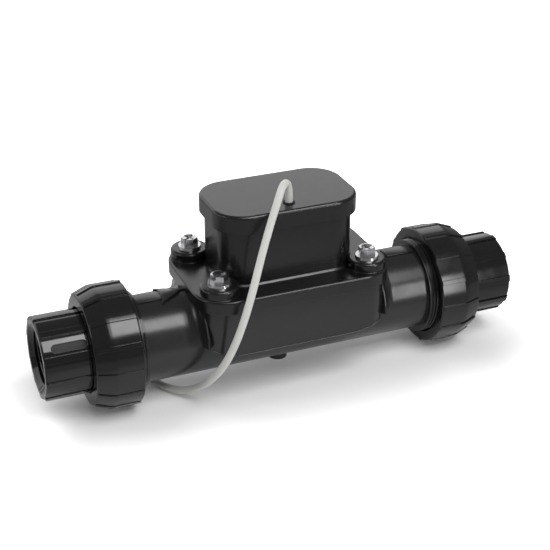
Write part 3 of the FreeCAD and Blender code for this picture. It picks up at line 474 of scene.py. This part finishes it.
COLLAR_RADIUS, COLLAR_START, COLLAR_LENGTH = 25.8, 80.6, 19.4
COLLAR_SINK, COLLAR_PITCH, COLLAR_RIDGE = 0.1, 1.8, 0.52
for side, start in (("inlet", -COLLAR_START - COLLAR_LENGTH), ("outlet", COLLAR_START)):
    thread = grow(f"{side}_collar_thread", thread_tree, {
        "Radius": mm(COLLAR_RADIUS - COLLAR_SINK), "Pitch": mm(COLLAR_PITCH),
        "Length": mm(COLLAR_LENGTH), "Ridge": mm(COLLAR_RIDGE),
        "Start": mm(start, 0.0, AXIS), "Material": union_plastic})
    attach(thread, "sensor_body")

# %% [markdown]
# Four stainless screws hold the cover down. Each has a hexagon on a round washer flange, a
# dished top, and a slot with a shorter cross cut in it. One head is made from primitives and
# booleans inside the tree, and is set on the four corners of a grid, each turned by its own
# random angle from a fixed seed, as hand-driven screws stop where they are tight.

# %% Screw tree: the head
CONE_FOOT, CONE_TOP = 3.0, 0.84
screw_tree, given = new_tree("corner_screws", {
    "Span": "NodeSocketVector", "Washer Radius": "NodeSocketFloat",
    "Washer Height": "NodeSocketFloat", "Point Radius": "NodeSocketFloat",
    "Head Height": "NodeSocketFloat", "Slot": "NodeSocketVector", "Cross": "NodeSocketVector",
    "Dish Radius": "NodeSocketFloat", "Dish Rise": "NodeSocketFloat",
    "Shank Radius": "NodeSocketFloat", "Shank Length": "NodeSocketFloat",
    "Seat": "NodeSocketVector", "Seed": "NodeSocketInt", "Material": "NodeSocketMaterial"})
half_head = add(screw_tree, "ShaderNodeMath", {"operation": "MULTIPLY"},
                {0: (given, "Head Height"), 1: 0.5})
hexagon = add(screw_tree, "GeometryNodeMeshCylinder", None, {
    "Vertices": 6, "Radius": (given, "Point Radius"), "Depth": (given, "Head Height")})
wide = add(screw_tree, "ShaderNodeMath", {"operation": "MULTIPLY"},
           {0: (given, "Point Radius"), 1: CONE_FOOT})
narrow = add(screw_tree, "ShaderNodeMath", {"operation": "MULTIPLY"},
             {0: (given, "Point Radius"), 1: CONE_TOP})
dome = add(screw_tree, "GeometryNodeMeshCone", None, {
    "Vertices": 32, "Radius Top": (narrow, "Value"), "Radius Bottom": (wide, "Value"),
    "Depth": (given, "Head Height")})
low = add(screw_tree, "ShaderNodeMath", {"operation": "MULTIPLY"},
          {0: (half_head, "Value"), 1: -1.0})
dome_foot = add(screw_tree, "ShaderNodeCombineXYZ", None, {"Z": (low, "Value")})
dome_down = add(screw_tree, "GeometryNodeTransform", None, {
    "Geometry": (dome, "Mesh"), "Translation": (dome_foot, "Vector")})
head = add(screw_tree, "GeometryNodeMeshBoolean", {"operation": "INTERSECT", "solver": "EXACT"},
           {"Mesh 2": [(hexagon, "Mesh"), (dome_down, "Geometry")]})
head_top = add(screw_tree, "ShaderNodeCombineXYZ", None, {"Z": (half_head, "Value")})
cuts = []
for cut in ("Slot", "Cross"):
    bar = add(screw_tree, "GeometryNodeMeshCube", None, {"Size": (given, cut)})
    cuts.append(add(screw_tree, "GeometryNodeTransform", None, {
        "Geometry": (bar, "Mesh"), "Translation": (head_top, "Vector")}))
ball = add(screw_tree, "GeometryNodeMeshUVSphere", None, {
    "Segments": 32, "Rings": 24, "Radius": (given, "Dish Radius")})
ball_lift = add(screw_tree, "ShaderNodeMath", {"operation": "ADD"},
                {0: (half_head, "Value"), 1: (given, "Dish Rise")})
ball_place = add(screw_tree, "ShaderNodeCombineXYZ", None, {"Z": (ball_lift, "Value")})
cuts.append(add(screw_tree, "GeometryNodeTransform", None, {
    "Geometry": (ball, "Mesh"), "Translation": (ball_place, "Vector")}))
driven = add(screw_tree, "GeometryNodeMeshBoolean",
             {"operation": "DIFFERENCE", "solver": "EXACT"},
             {"Mesh 1": (head, "Mesh"), "Mesh 2": [(cut, "Geometry") for cut in cuts]})
print("screw tree has", len(screw_tree.nodes), "nodes for its head")

# %% Screw tree: washer flange, shank and the four corners
FLANGE_TOP = 0.95


def set_on_corners(tree, inputs, instance, rotation=(0.0, 0.0, 0.0)):
    """Close a tree: one instance on each corner of its span, lifted to its seat."""
    span = add(tree, "ShaderNodeSeparateXYZ", None, {"Vector": (inputs, "Span")})
    corners = add(tree, "GeometryNodeMeshGrid", None, {
        "Vertices X": 2, "Vertices Y": 2, "Size X": (span, "X"), "Size Y": (span, "Y")})
    four = add(tree, "GeometryNodeInstanceOnPoints", None, {
        "Points": (corners, "Mesh"), "Instance": instance, "Rotation": rotation})
    seated = add(tree, "GeometryNodeTransform", None, {
        "Geometry": (four, "Instances"), "Translation": (inputs, "Seat")})
    finish_tree(tree, inputs, (seated, "Geometry"))


raise_by = add(screw_tree, "ShaderNodeMath", {"operation": "ADD"},
               {0: (half_head, "Value"), 1: (given, "Washer Height")})
head_place = add(screw_tree, "ShaderNodeCombineXYZ", None, {"Z": (raise_by, "Value")})
on_washer = add(screw_tree, "GeometryNodeTransform", None, {
    "Geometry": (driven, "Mesh"), "Translation": (head_place, "Vector")})
lip = add(screw_tree, "ShaderNodeMath", {"operation": "MULTIPLY"},
          {0: (given, "Washer Radius"), 1: FLANGE_TOP})
washer = add(screw_tree, "GeometryNodeMeshCone", None, {
    "Vertices": 48, "Radius Top": (lip, "Value"), "Radius Bottom": (given, "Washer Radius"),
    "Depth": (given, "Washer Height")})
shank = add(screw_tree, "GeometryNodeMeshCylinder", None, {
    "Vertices": 24, "Radius": (given, "Shank Radius"), "Depth": (given, "Shank Length")})
drop = add(screw_tree, "ShaderNodeMath", {"operation": "MULTIPLY"},
           {0: (given, "Shank Length"), 1: -0.5})
shank_place = add(screw_tree, "ShaderNodeCombineXYZ", None, {"Z": (drop, "Value")})
below = add(screw_tree, "GeometryNodeTransform", None, {
    "Geometry": (shank, "Mesh"), "Translation": (shank_place, "Vector")})
one = add(screw_tree, "GeometryNodeJoinGeometry", None, {
    "Geometry": [(on_washer, "Geometry"), (washer, "Mesh"), (below, "Geometry")]})
angle = add(screw_tree, "FunctionNodeRandomValue", {"data_type": "FLOAT_VECTOR"}, {
    0: (0.0, 0.0, 0.0), 1: (0.0, 0.0, math.pi), "Seed": (given, "Seed")})
set_on_corners(screw_tree, given, (one, "Geometry"), (angle, "Value"))
print("screw tree has", len(screw_tree.nodes), "nodes in all")

# %% The four screws
SCREW_SPAN = (82.6, 46.5, 0.0)
HEAD_HEIGHT, HEXAGON_WIDTH, WASHER_HEIGHT, WASHER_RADIUS = 4.3, 8.0, 1.4, 6.3
SLOT, CROSS = (12.0, 1.3, 3.4), (1.3, 5.6, 4.4)
DISH_RADIUS, DISH_RISE, SHANK_RADIUS, TURN_SEED = 11.0, 10.5, 2.4, 7
screw_low, screw_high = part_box("cover_screws")
seat_height = screw_high.z * 1000 - HEAD_HEIGHT - WASHER_HEIGHT
cover_bolts = grow("cover_bolts", screw_tree, {
    "Span": mm(*SCREW_SPAN), "Washer Radius": mm(WASHER_RADIUS),
    "Washer Height": mm(WASHER_HEIGHT), "Point Radius": mm(HEXAGON_WIDTH / math.sqrt(3)),
    "Head Height": mm(HEAD_HEIGHT), "Slot": mm(*SLOT), "Cross": mm(*CROSS),
    "Shank Radius": mm(SHANK_RADIUS), "Dish Radius": mm(DISH_RADIUS),
    "Dish Rise": mm(DISH_RISE), "Shank Length": seat_height / 1000 - screw_low.z,
    "Seat": mm(0.0, 0.0, seat_height), "Seed": TURN_SEED, "Material": screw_steel}, degrees=25)
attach(cover_bolts, "sensor_body")
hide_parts("cover_screws")

# %% [markdown]
# Each screw stands on a round boss of the cover. The moulded boss has a rounded top edge and a
# thin ring at its foot, and both catch the light as fine arcs. A ring is a small circle swept
# along a large one, set on the same four corners as the screws and sunk into the boss. The
# upper ring is a hair thicker than the edge that it rounds, so that it shows.

# %% Rings on the bosses
BOSS_RADIUS, BOSS_HEIGHT, BOSS_ROUND, FOOT_RING, HAIR = 10.2, 5.1, 1.5, 0.45, 0.02
ring_tree, given = new_tree("corner_rings", {
    "Span": "NodeSocketVector", "Ring Radius": "NodeSocketFloat",
    "Bead Radius": "NodeSocketFloat", "Seat": "NodeSocketVector",
    "Material": "NodeSocketMaterial"})
large = add(ring_tree, "GeometryNodeCurvePrimitiveCircle", None, {
    "Resolution": 72, "Radius": (given, "Ring Radius")})
small = add(ring_tree, "GeometryNodeCurvePrimitiveCircle", None, {
    "Resolution": 20, "Radius": (given, "Bead Radius")})
swept = add(ring_tree, "GeometryNodeCurveToMesh", None, {
    "Curve": (large, "Curve"), "Profile Curve": (small, "Curve")})
set_on_corners(ring_tree, given, (swept, "Mesh"))
for name, radius, bead, drop in (
        ("boss_rounds", BOSS_RADIUS - BOSS_ROUND, BOSS_ROUND + HAIR, BOSS_ROUND),
        ("boss_foot_rings", BOSS_RADIUS, FOOT_RING, BOSS_HEIGHT)):
    rings = grow(name, ring_tree, {
        "Span": mm(*SCREW_SPAN), "Ring Radius": mm(radius), "Bead Radius": mm(bead),
        "Seat": mm(0.0, 0.0, seat_height - drop), "Material": cover_plastic}, degrees=40)
    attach(rings, "sensor_body")

# %% [markdown]
# Two raised signs are moulded on top of the pipe: an arrow that shows the way of the flow
# near the inlet, and a plain bar near the outlet. A sign is drawn flat, as its outline along
# the pipe and around it, cut into narrow strips, thickened, and then wrapped on the pipe, so
# that it follows the curve as a moulded one does.

# %% Raised signs on the pipe
PIPE_RADIUS, SIGN_SINK, SIGN_EDGE = 23.2, 0.3, 0.2
STRIP_WIDTH, STRIPS = 0.9, 12


def wrapped_plate(points, low, high, crown=0.0):
    """Plate about the pipe's axis between two radii; points are (along, around) its crown."""
    plate = bmesh.new()
    plate.faces.new([plate.verts.new((x, around, 0.0)) for x, around in points])
    for strip in range(-STRIPS, STRIPS + 1):
        bmesh.ops.bisect_plane(plate, geom=plate.verts[:] + plate.edges[:] + plate.faces[:],
                               plane_co=(0.0, strip * STRIP_WIDTH, 0.0), plane_no=(0.0, 1.0, 0.0))
    risen = bmesh.ops.extrude_face_region(plate, geom=plate.faces[:])["geom"]
    for vertex in risen:
        if isinstance(vertex, bmesh.types.BMVert):
            vertex.co.z = 1.0
    for vertex in plate.verts:
        radius = low + (high - low) * vertex.co.z
        angle = crown + vertex.co.y / high
        vertex.co = mm(vertex.co.x, -radius * math.sin(angle), AXIS + radius * math.cos(angle))
    bmesh.ops.recalc_face_normals(plate, faces=plate.faces)
    mesh = bpy.data.meshes.new("plate")
    plate.to_mesh(mesh)
    plate.free()
    return mesh


def raised_sign(name, plates):
    """Sign of wrapped plates; each is (points, height)."""
    maker = bmesh.new()
    for points, height in plates:
        maker.from_mesh(wrapped_plate(points, PIPE_RADIUS - SIGN_SINK, PIPE_RADIUS + height))
    piece = new_piece(name)
    maker.to_mesh(piece.data)
    maker.free()
    edge = piece.modifiers.new("edge", "BEVEL")
    edge.width, edge.segments, edge.limit_method = mm(SIGN_EDGE), 2, "ANGLE"
    edge.angle_limit = math.radians(50)
    plain(piece)
    soften(piece.data, degrees=40)
    piece.data.materials.append(body_plastic)
    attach(piece, "sensor_body")
    print(name, "has", len(piece.data.polygons), "faces")


ARROW_HEAD = [(-67.4, -8.4), (-53.6, 0.0), (-67.4, 8.4), (-65.9, 4.8), (-65.9, -4.8)]
ARROW_SHAFT = [(-80.4, -4.6), (-65.0, -4.6), (-65.0, 4.6), (-80.4, 4.6)]
OUTLET_BAR = [(63.0, -4.4), (79.6, -4.4), (79.6, 4.4), (63.0, 4.4)]
HIGH_RELIEF, LOW_RELIEF = 1.4, 0.8
raised_sign("flow_arrow", [(ARROW_HEAD, HIGH_RELIEF), (ARROW_SHAFT, LOW_RELIEF)])
raised_sign("outlet_bar", [(OUTLET_BAR, LOW_RELIEF)])

# %% [markdown]
# The two halves of the mould meet at the tub's lower edge, and the body has a thin bead there.
# It catches the light as a fine line under the tub. Its path follows the tub: straight along
# the keel, then up an arch to each end, and round the corner.

# %% Bead along the tub's lower edge
KEEL, KEEL_DROP, ARCH_CENTRE, ARCH_RADIUS = 30.0, -3.0, 32.89, 35.89
TUB_CORNER, TUB_ROUND = Vector((40.6, 22.0)), 10.0
BEAD_END, BEAD_STEPS, BEAD_RADIUS, BEAD_SIDES = 48.0, 64, 0.45, 10


def bead_point(x):
    """Point on the tub's lower edge, and the direction out of its wall."""
    climb = max(abs(x) - KEEL, 0.0)
    height = KEEL_DROP if climb == 0 else ARCH_CENTRE - math.sqrt(ARCH_RADIUS ** 2 - climb ** 2)
    turned = max(abs(x) - TUB_CORNER.x, 0.0) / TUB_ROUND
    outward = Vector((math.copysign(turned, x), math.sqrt(1 - turned ** 2)))
    return height, TUB_CORNER.y + TUB_ROUND * outward.y, outward


maker = bmesh.new()
for across in (-1, 1):
    rings = []
    for step in range(BEAD_STEPS + 1):
        x = BEAD_END * (2 * step / BEAD_STEPS - 1)
        height, y, outward = bead_point(x)
        middle = mm(x, across * y, AXIS + height)
        out, up = Vector((outward.x, across * outward.y, 0.0)), Vector((0.0, 0.0, 1.0))
        angles = [math.tau * side / BEAD_SIDES for side in range(BEAD_SIDES)]
        rings.append([maker.verts.new(middle + mm(BEAD_RADIUS) * (out * math.cos(angle)
                                                                 + up * math.sin(angle)))
                      for angle in angles])
    for ring, after in zip(rings, rings[1:]):
        for near in range(BEAD_SIDES):
            far = (near + 1) % BEAD_SIDES
            maker.faces.new((ring[near], ring[far], after[far], after[near]))
    maker.faces.new(rings[0])
    maker.faces.new(rings[-1])
bmesh.ops.recalc_face_normals(maker, faces=maker.faces)
tub_bead = new_piece("tub_bead")
maker.to_mesh(tub_bead.data)
maker.free()
soften(tub_bead.data, degrees=60)
tub_bead.data.materials.append(body_plastic)
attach(tub_bead, "sensor_body")
print("bead has", len(tub_bead.data.polygons), "faces")

# %% [markdown]
# The inlet hub has a shallow round-ended recess between two ribs. A recess can't be laid on
# a surface, so a copy of the hub is made, its loose triangles are merged into a closed skin,
# and a plate is cut out of it with a Boolean modifier. The plate is wrapped as the signs are,
# so the recess has a round floor that follows the hub.

# %% Recess in the inlet hub
RECESS_CENTRE, RECESS_TURN = -119.1, 141.3
RECESS_LENGTH, RECESS_WIDTH, RECESS_FLOOR, CUT_RADIUS = 18.4, 4.8, 21.15, 24.0
END_STEPS, ROUND_ENOUGH = 12, 0.12


def merged_copy(name, node):
    """Copy of a CAD node's mesh with its loose triangles joined."""
    maker = bmesh.new()
    maker.from_mesh(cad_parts[node].data)
    bmesh.ops.remove_doubles(maker, verts=maker.verts, dist=1e-6)
    piece = new_piece(name)
    maker.to_mesh(piece.data)
    maker.free()
    return piece


def round_ended(middle, length, width):
    """Outline of a bar along x with round ends."""
    points = []
    for end, turn in ((1, -math.pi / 2), (-1, math.pi / 2)):
        for step in range(END_STEPS + 1):
            angle = turn + math.pi * step / END_STEPS
            points.append((middle + end * (length - width) / 2 + width / 2 * math.cos(angle),
                           width / 2 * math.sin(angle)))
    return points


def round_normals(mesh):
    """Exact normals for faces that turn about the pipe's axis; other faces stay flat."""
    axis = mm(0.0, 0.0, AXIS)
    normals = []
    for face in mesh.polygons:
        outward = ((face.center - axis) * Vector((0, 1, 1))).normalized()
        lean = face.normal.dot(outward)
        sideways = (face.normal - outward * lean - Vector((face.normal.x, 0, 0))).length
        for corner in face.vertices:
            spoke = ((mesh.vertices[corner].co - axis) * Vector((0, 1, 1))).normalized()
            turned = spoke * lean + Vector((face.normal.x, 0, 0))
            normals.append((turned if sideways < ROUND_ENOUGH else face.normal).normalized())
    mesh.polygons.foreach_set("use_smooth", [True] * len(mesh.polygons))
    mesh.normals_split_custom_set(normals)


inlet_hub = merged_copy("inlet_hub", "inlet_tailpiece")
outline = round_ended(RECESS_CENTRE, RECESS_LENGTH, RECESS_WIDTH)
plate = wrapped_plate(outline, RECESS_FLOOR, CUT_RADIUS, math.radians(RECESS_TURN - 90.0))
cutter = new_piece("recess_cutter", plate)
plate.materials.append(recess_plastic)
inlet_hub.data.materials.clear()
inlet_hub.data.materials.append(union_plastic)
recess = inlet_hub.modifiers.new("recess", "BOOLEAN")
recess.object, recess.operation, recess.solver = cutter, "DIFFERENCE", "EXACT"
recess.material_mode = "TRANSFER"
plain(inlet_hub)
bpy.data.objects.remove(cutter)
round_normals(inlet_hub.data)
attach(inlet_hub, "inlet_tail")
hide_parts("inlet_tailpiece")
print("inlet hub has", len(inlet_hub.data.polygons), "faces")

# %% [markdown]
# A union nut is moulded with a soft shoulder between its grip and its nose, and that is where
# its highlight fades out. The CAD nut has a plain crease there, so each nut is turned again
# from its profile: the same sizes, an arc at the shoulder, a small one at the nose, and
# fourteen low ribs. The profile names a point twice where a rib has an end wall: on the ribs
# the second point is lifted, and between the ribs the two fall together and are merged.

# %% Turned rings with ribs
def fillet(before, corner, after, radius, steps):
    """Points of the arc that rounds a corner of a drawn profile."""
    before, corner, after = Vector(before), Vector(corner), Vector(after)
    back, ahead = (before - corner).normalized(), (after - corner).normalized()
    half = back.angle(ahead) / 2
    centre = corner + (back + ahead).normalized() * radius / math.sin(half)
    first, last = (corner + way * radius / math.tan(half) for way in (back, ahead))
    return [tuple(centre + (first.lerp(last, step / steps) - centre).normalized() * radius)
            for step in range(steps + 1)]


def ribbed_ring(name, plain_part, ribbed_part, ribs, rib_angle, rib_height, side):
    """Ring about the pipe's axis; a profile of (along, radius) points, part of it with ribs."""
    profile = [(point, 0.0) for point in plain_part] + [(point, 1.0) for point in ribbed_part]
    edge, period, gap_steps = math.radians(rib_angle) / 2, math.tau / ribs, 12
    sections = []
    for rib in range(ribs):
        middle = rib * period
        sections += [(middle - edge, 0.0), (middle - edge, rib_height), (middle, rib_height),
                     (middle + edge, rib_height)]
        sections += [(middle + edge + (period - 2 * edge) * step / gap_steps, 0.0)
                     for step in range(gap_steps)]
    maker = bmesh.new()
    rings = []
    for angle, lift in sections:
        ring = []
        for (along, radius), raised in profile:
            reach = radius + lift * raised
            place = (side * along, reach * math.cos(angle), AXIS + reach * math.sin(angle))
            ring.append(maker.verts.new(mm(*place)))
        rings.append(ring)
    for ring, after in zip(rings, rings[1:] + rings[:1]):
        for near, far in zip(range(len(profile)), [*range(1, len(profile)), 0]):
            maker.faces.new((ring[near], ring[far], after[far], after[near]))
    bmesh.ops.remove_doubles(maker, verts=maker.verts, dist=1e-7)
    bmesh.ops.recalc_face_normals(maker, faces=maker.faces)
    piece = new_piece(name)
    maker.to_mesh(piece.data)
    maker.free()
    soften(piece.data, degrees=12)
    print(name, "has", len(piece.data.polygons), "faces")
    return piece


# %% The union nuts
NUT_RIBS, NUT_RIB_ANGLE, NUT_RIB_HEIGHT, SHOULDER_RADIUS = 14, 4.2, 0.7, 9.0
NUT_RIM, NUT_SHOULDER, NUT_NOSE = (84.9, 32.4), (100.0, 32.4), (109.0, 29.0)
NUT_MOUTH, NOSE_RADIUS, ARC_STEPS = (109.0, 23.0), 1.0, 8
shoulder_arc = fillet(NUT_RIM, NUT_SHOULDER, NUT_NOSE, SHOULDER_RADIUS, ARC_STEPS)
nose_arc = fillet(NUT_SHOULDER, NUT_NOSE, NUT_MOUTH, NOSE_RADIUS, ARC_STEPS)
NUT_INSIDE = [*nose_arc, NUT_MOUTH, (106.3, 23.0), (106.3, 26.3), (85.2, 26.3), (84.3, 27.2),
              (84.3, 31.8), NUT_RIM]
NUT_OUTSIDE = [NUT_RIM, *shoulder_arc, nose_arc[0]]
for name, side in (("inlet", -1), ("outlet", 1)):
    nut = ribbed_ring(f"{name}_nut_shell", NUT_INSIDE, NUT_OUTSIDE, NUT_RIBS, NUT_RIB_ANGLE,
                      NUT_RIB_HEIGHT, side)
    nut.data.materials.append(nut_plastic)
    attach(nut, f"{name}_nut")
    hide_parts(f"{name}_union_nut")

# %% [markdown]
# The lead's far end is stripped for wiring: two insulated cores come out of the jacket, and
# each ends in a few millimetres of twisted copper. The thread's tree can also wind a strand,
# which is only a thread with a very long pitch, and six of them make a tip.

# %% Bare copper tips
STRAND, STRANDS, STRAND_PITCH, TIP_LENGTH = 0.17, 6, 12.0, 7.0
CORE_SPREAD, CORE_LENGTH = 0.9, 29.6
jacket_end = Vector(LEAD_TAIL[3])
heading = (jacket_end - Vector(LEAD_TAIL[2])).normalized()
apart = heading.cross(Vector((0, 0, 1))).normalized()
aim = Vector((1, 0, 0)).rotation_difference(heading).to_matrix().to_4x4()
for core, spread in (("lead_red", CORE_SPREAD), ("lead_black", -CORE_SPREAD)):
    end = mm(*(jacket_end + apart * spread + heading * CORE_LENGTH))
    strand = grow(f"{core}_strand", thread_tree, {
        "Radius": mm(2 * STRAND), "Pitch": mm(STRAND_PITCH), "Length": mm(TIP_LENGTH),
        "Ridge": mm(STRAND), "Start": Vector(), "Material": strand_copper}, degrees=60)
    maker = bmesh.new()
    for number in range(STRANDS):
        wound = strand.data.copy()
        wound.transform(Matrix.Rotation(number * math.tau / STRANDS, 4, "X"))
        maker.from_mesh(wound)
    bmesh.ops.transform(maker, matrix=Matrix.Translation(end) @ aim, verts=maker.verts)
    maker.to_mesh(strand.data)
    maker.free()
    strand.name = f"{core}_tip"
    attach(strand, "sensor_body")
print("tips end at", [round(v, 4) for v in end])

# %% [markdown]
# On a black object the lamps show only as reflections, so each lamp is placed for the band
# that it draws. The front softbox gives the band along the left end and the pipe, and the
# dimmer wing beside it lets that band fade out. The narrow strip gives the same band on the
# right end, the small left lamp lights the hub's flank, and the panels to the left and behind
# grey the flat tops. One fill lights the floor and the lead but stays out of every reflection.

# %% Lamps
def softbox(name, place, target, width, height, brightness):
    """Rectangular area lamp that the camera doesn't see; brightness 1 looks white."""
    lamp = bpy.data.lights.new(name, "AREA")
    lamp.shape, lamp.size, lamp.size_y = "RECTANGLE", width, height
    lamp.energy = brightness * math.pi * width * height
    holder = bpy.data.objects.new(name, lamp)
    holder.location = place
    holder.rotation_euler = (Vector(target) - Vector(place)).to_track_quat("-Z", "Y").to_euler()
    holder.visible_camera = False
    bpy.context.scene.collection.objects.link(holder)
    return holder


middle = Vector((0.0, 0.0, 0.05))
softbox("front_softbox", (0.39, -0.80, 1.28), (0.39, 0.0, 0.03), 0.60, 0.80, 8.0)
softbox("right_strip", (0.667, -1.20, 0.36), (0.667, 0.0, 0.03), 0.15, 0.85, 13.0)
softbox("left_panel", (-1.6, 0.9, 0.4), middle, 1.6, 0.7, 1.2)
softbox("left_lamp", (-1.09, -0.07, 0.55), (-0.06, 0.0, 0.04), 0.25, 0.25, 5.0)
softbox("front_wing", (-0.13, -0.80, 1.28), (-0.13, 0.0, 0.03), 0.44, 0.80, 3.0)
softbox("rear_panel", (0.0, 1.6, 0.62), middle, 2.25, 1.25, 1.1)
rear_fill = softbox("rear_fill", (-0.75, 0.7, 1.3), middle, 1.2, 1.2, 2.8)
rear_fill.visible_glossy = False

# %% [markdown]
# A product picture stands on a white page with a soft shadow under the object. The world is
# white for camera rays and dim for the object's reflections, so black plastic stays black. The
# floor takes real shadows close to the object. Farther out it has painted light: for camera
# rays it glows more with distance and washes the shadow out, so that it runs into the page
# with no edge. In reflections it has painted shade instead, and darkens away from the object.

# %% White page
MIRRORED_PAGE, ROOM_LIGHT = 0.15, 0.1
world = bpy.data.worlds.new("studio_world")
bpy.context.scene.world = world
world.use_nodes = True
sky = world.node_tree
sky.nodes.clear()
rays = add(sky, "ShaderNodeLightPath")
seen = add(sky, "ShaderNodeMath", {"operation": "MAXIMUM"},
           {0: (rays, "Is Camera Ray"), 1: (rays, "Is Transmission Ray")})
mirrored = add(sky, "ShaderNodeMath", {"operation": "MULTIPLY"},
               {0: (rays, "Is Glossy Ray"), 1: MIRRORED_PAGE})
page = add(sky, "ShaderNodeMath", {"operation": "MAXIMUM"},
           {0: (seen, "Value"), 1: (mirrored, "Value")})
room = add(sky, "ShaderNodeBackground", None, {
    "Color": linear("#ffffff"), "Strength": ROOM_LIGHT})
white = add(sky, "ShaderNodeBackground", None, {"Color": linear("#ffffff"), "Strength": 1.0})
mixed = add(sky, "ShaderNodeMixShader", None, {
    "Fac": (page, "Value"), 1: (room, "Background"), 2: (white, "Background")})
add(sky, "ShaderNodeOutputWorld", None, {"Surface": (mixed, "Shader")})
print("page has", len(sky.nodes), "nodes")

# %% Floor
# Painted light: outside this box round the object the floor glows for camera rays, more with
# distance, and washes its shadow out.
SHADOW_BOX = (106.0, 20.0, 0.0)
FADE_REACH, GLOW_NEAR, GLOW_FAR = 0.1, 0.03, 0.9
# Painted shade: in reflections the floor darkens between these distances from the object.
REFLECTION_SHADE_START, REFLECTION_SHADE_END, REFLECTION_SHADE_DIM = 0.10, 0.20, 0.42
FLOOR_REACH, FLOOR_GAP = 5.0, 0.0002
floor_paint, paper = empty_material("paper_backdrop")
rays = add(paper, "ShaderNodeLightPath")
spot = add(paper, "ShaderNodeTexCoord")
away = add(paper, "ShaderNodeVectorMath", {"operation": "LENGTH"}, {0: (spot, "Object")})
folded = add(paper, "ShaderNodeVectorMath", {"operation": "ABSOLUTE"}, {0: (spot, "Object")})
beside = add(paper, "ShaderNodeVectorMath", {"operation": "SUBTRACT"},
             {0: (folded, "Vector"), 1: mm(*SHADOW_BOX)})
outside = add(paper, "ShaderNodeVectorMath", {"operation": "MAXIMUM"},
              {0: (beside, "Vector"), 1: (0.0, 0.0, 0.0)})
clear = add(paper, "ShaderNodeVectorMath", {"operation": "LENGTH"}, {0: (outside, "Vector")})
# Painted light: the glow rises from faint beside the object to nearly white at the fade's reach.
fade = add(paper, "ShaderNodeMapRange", {"interpolation_type": "SMOOTHSTEP"}, {
    "Value": (clear, "Value"), "From Min": 0.0, "From Max": FADE_REACH,
    "To Min": GLOW_NEAR, "To Max": GLOW_FAR})
glow = add(paper, "ShaderNodeMath", {"operation": "MULTIPLY"},
           {0: (rays, "Is Camera Ray"), 1: (fade, "Result")})
# Painted shade: glossy rays see the floor's colour fall from full to the dim level away from the
# object.
painted_reflection_shade = add(paper, "ShaderNodeMapRange", None, {
    "Value": (away, "Value"), "From Min": REFLECTION_SHADE_START, "From Max": REFLECTION_SHADE_END,
    "To Min": 1.0, "To Max": REFLECTION_SHADE_DIM})
dimmed = add(paper, "ShaderNodeMix", {"data_type": "FLOAT"}, {
    "Factor": (rays, "Is Glossy Ray"), "A": 1.0, "B": (painted_reflection_shade, "Result")})
tone = add(paper, "ShaderNodeMix", {"data_type": "RGBA"}, {
    "Factor": (dimmed, "Result"), 6: linear("#000000"), 7: linear("#f7f7f7")})
matt = add(paper, "ShaderNodeBsdfDiffuse", None, {"Color": (tone, 2)})
painted_glow_emission = add(paper, "ShaderNodeEmission", None, {
    "Color": linear("#ffffff"), "Strength": (glow, "Value")})
both = add(paper, "ShaderNodeAddShader", None, {
    0: (matt, "BSDF"), 1: (painted_glow_emission, "Emission")})
add(paper, "ShaderNodeOutputMaterial", None, {"Surface": (both, "Shader")})
maker = bmesh.new()
bmesh.ops.create_grid(maker, x_segments=8, y_segments=8, size=FLOOR_REACH,
                      matrix=Matrix.Translation((0.0, 0.0, -FLOOR_GAP)))
floor = new_piece("floor")
maker.to_mesh(floor.data)
maker.free()
floor.data.materials.append(floor_paint)
floor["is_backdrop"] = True
bpy.context.scene.view_settings.view_transform = "Standard"
print("floor and page are white")

# %% [markdown]
# Last, the box of the dressed model is measured and printed. Threads, beads and the lead stand
# a little proud of their solids; nothing here changes the CAD model's size.

# %% Sizes
low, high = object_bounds()
print("visual box", [round(v, 4) for v in (*low, *high)])
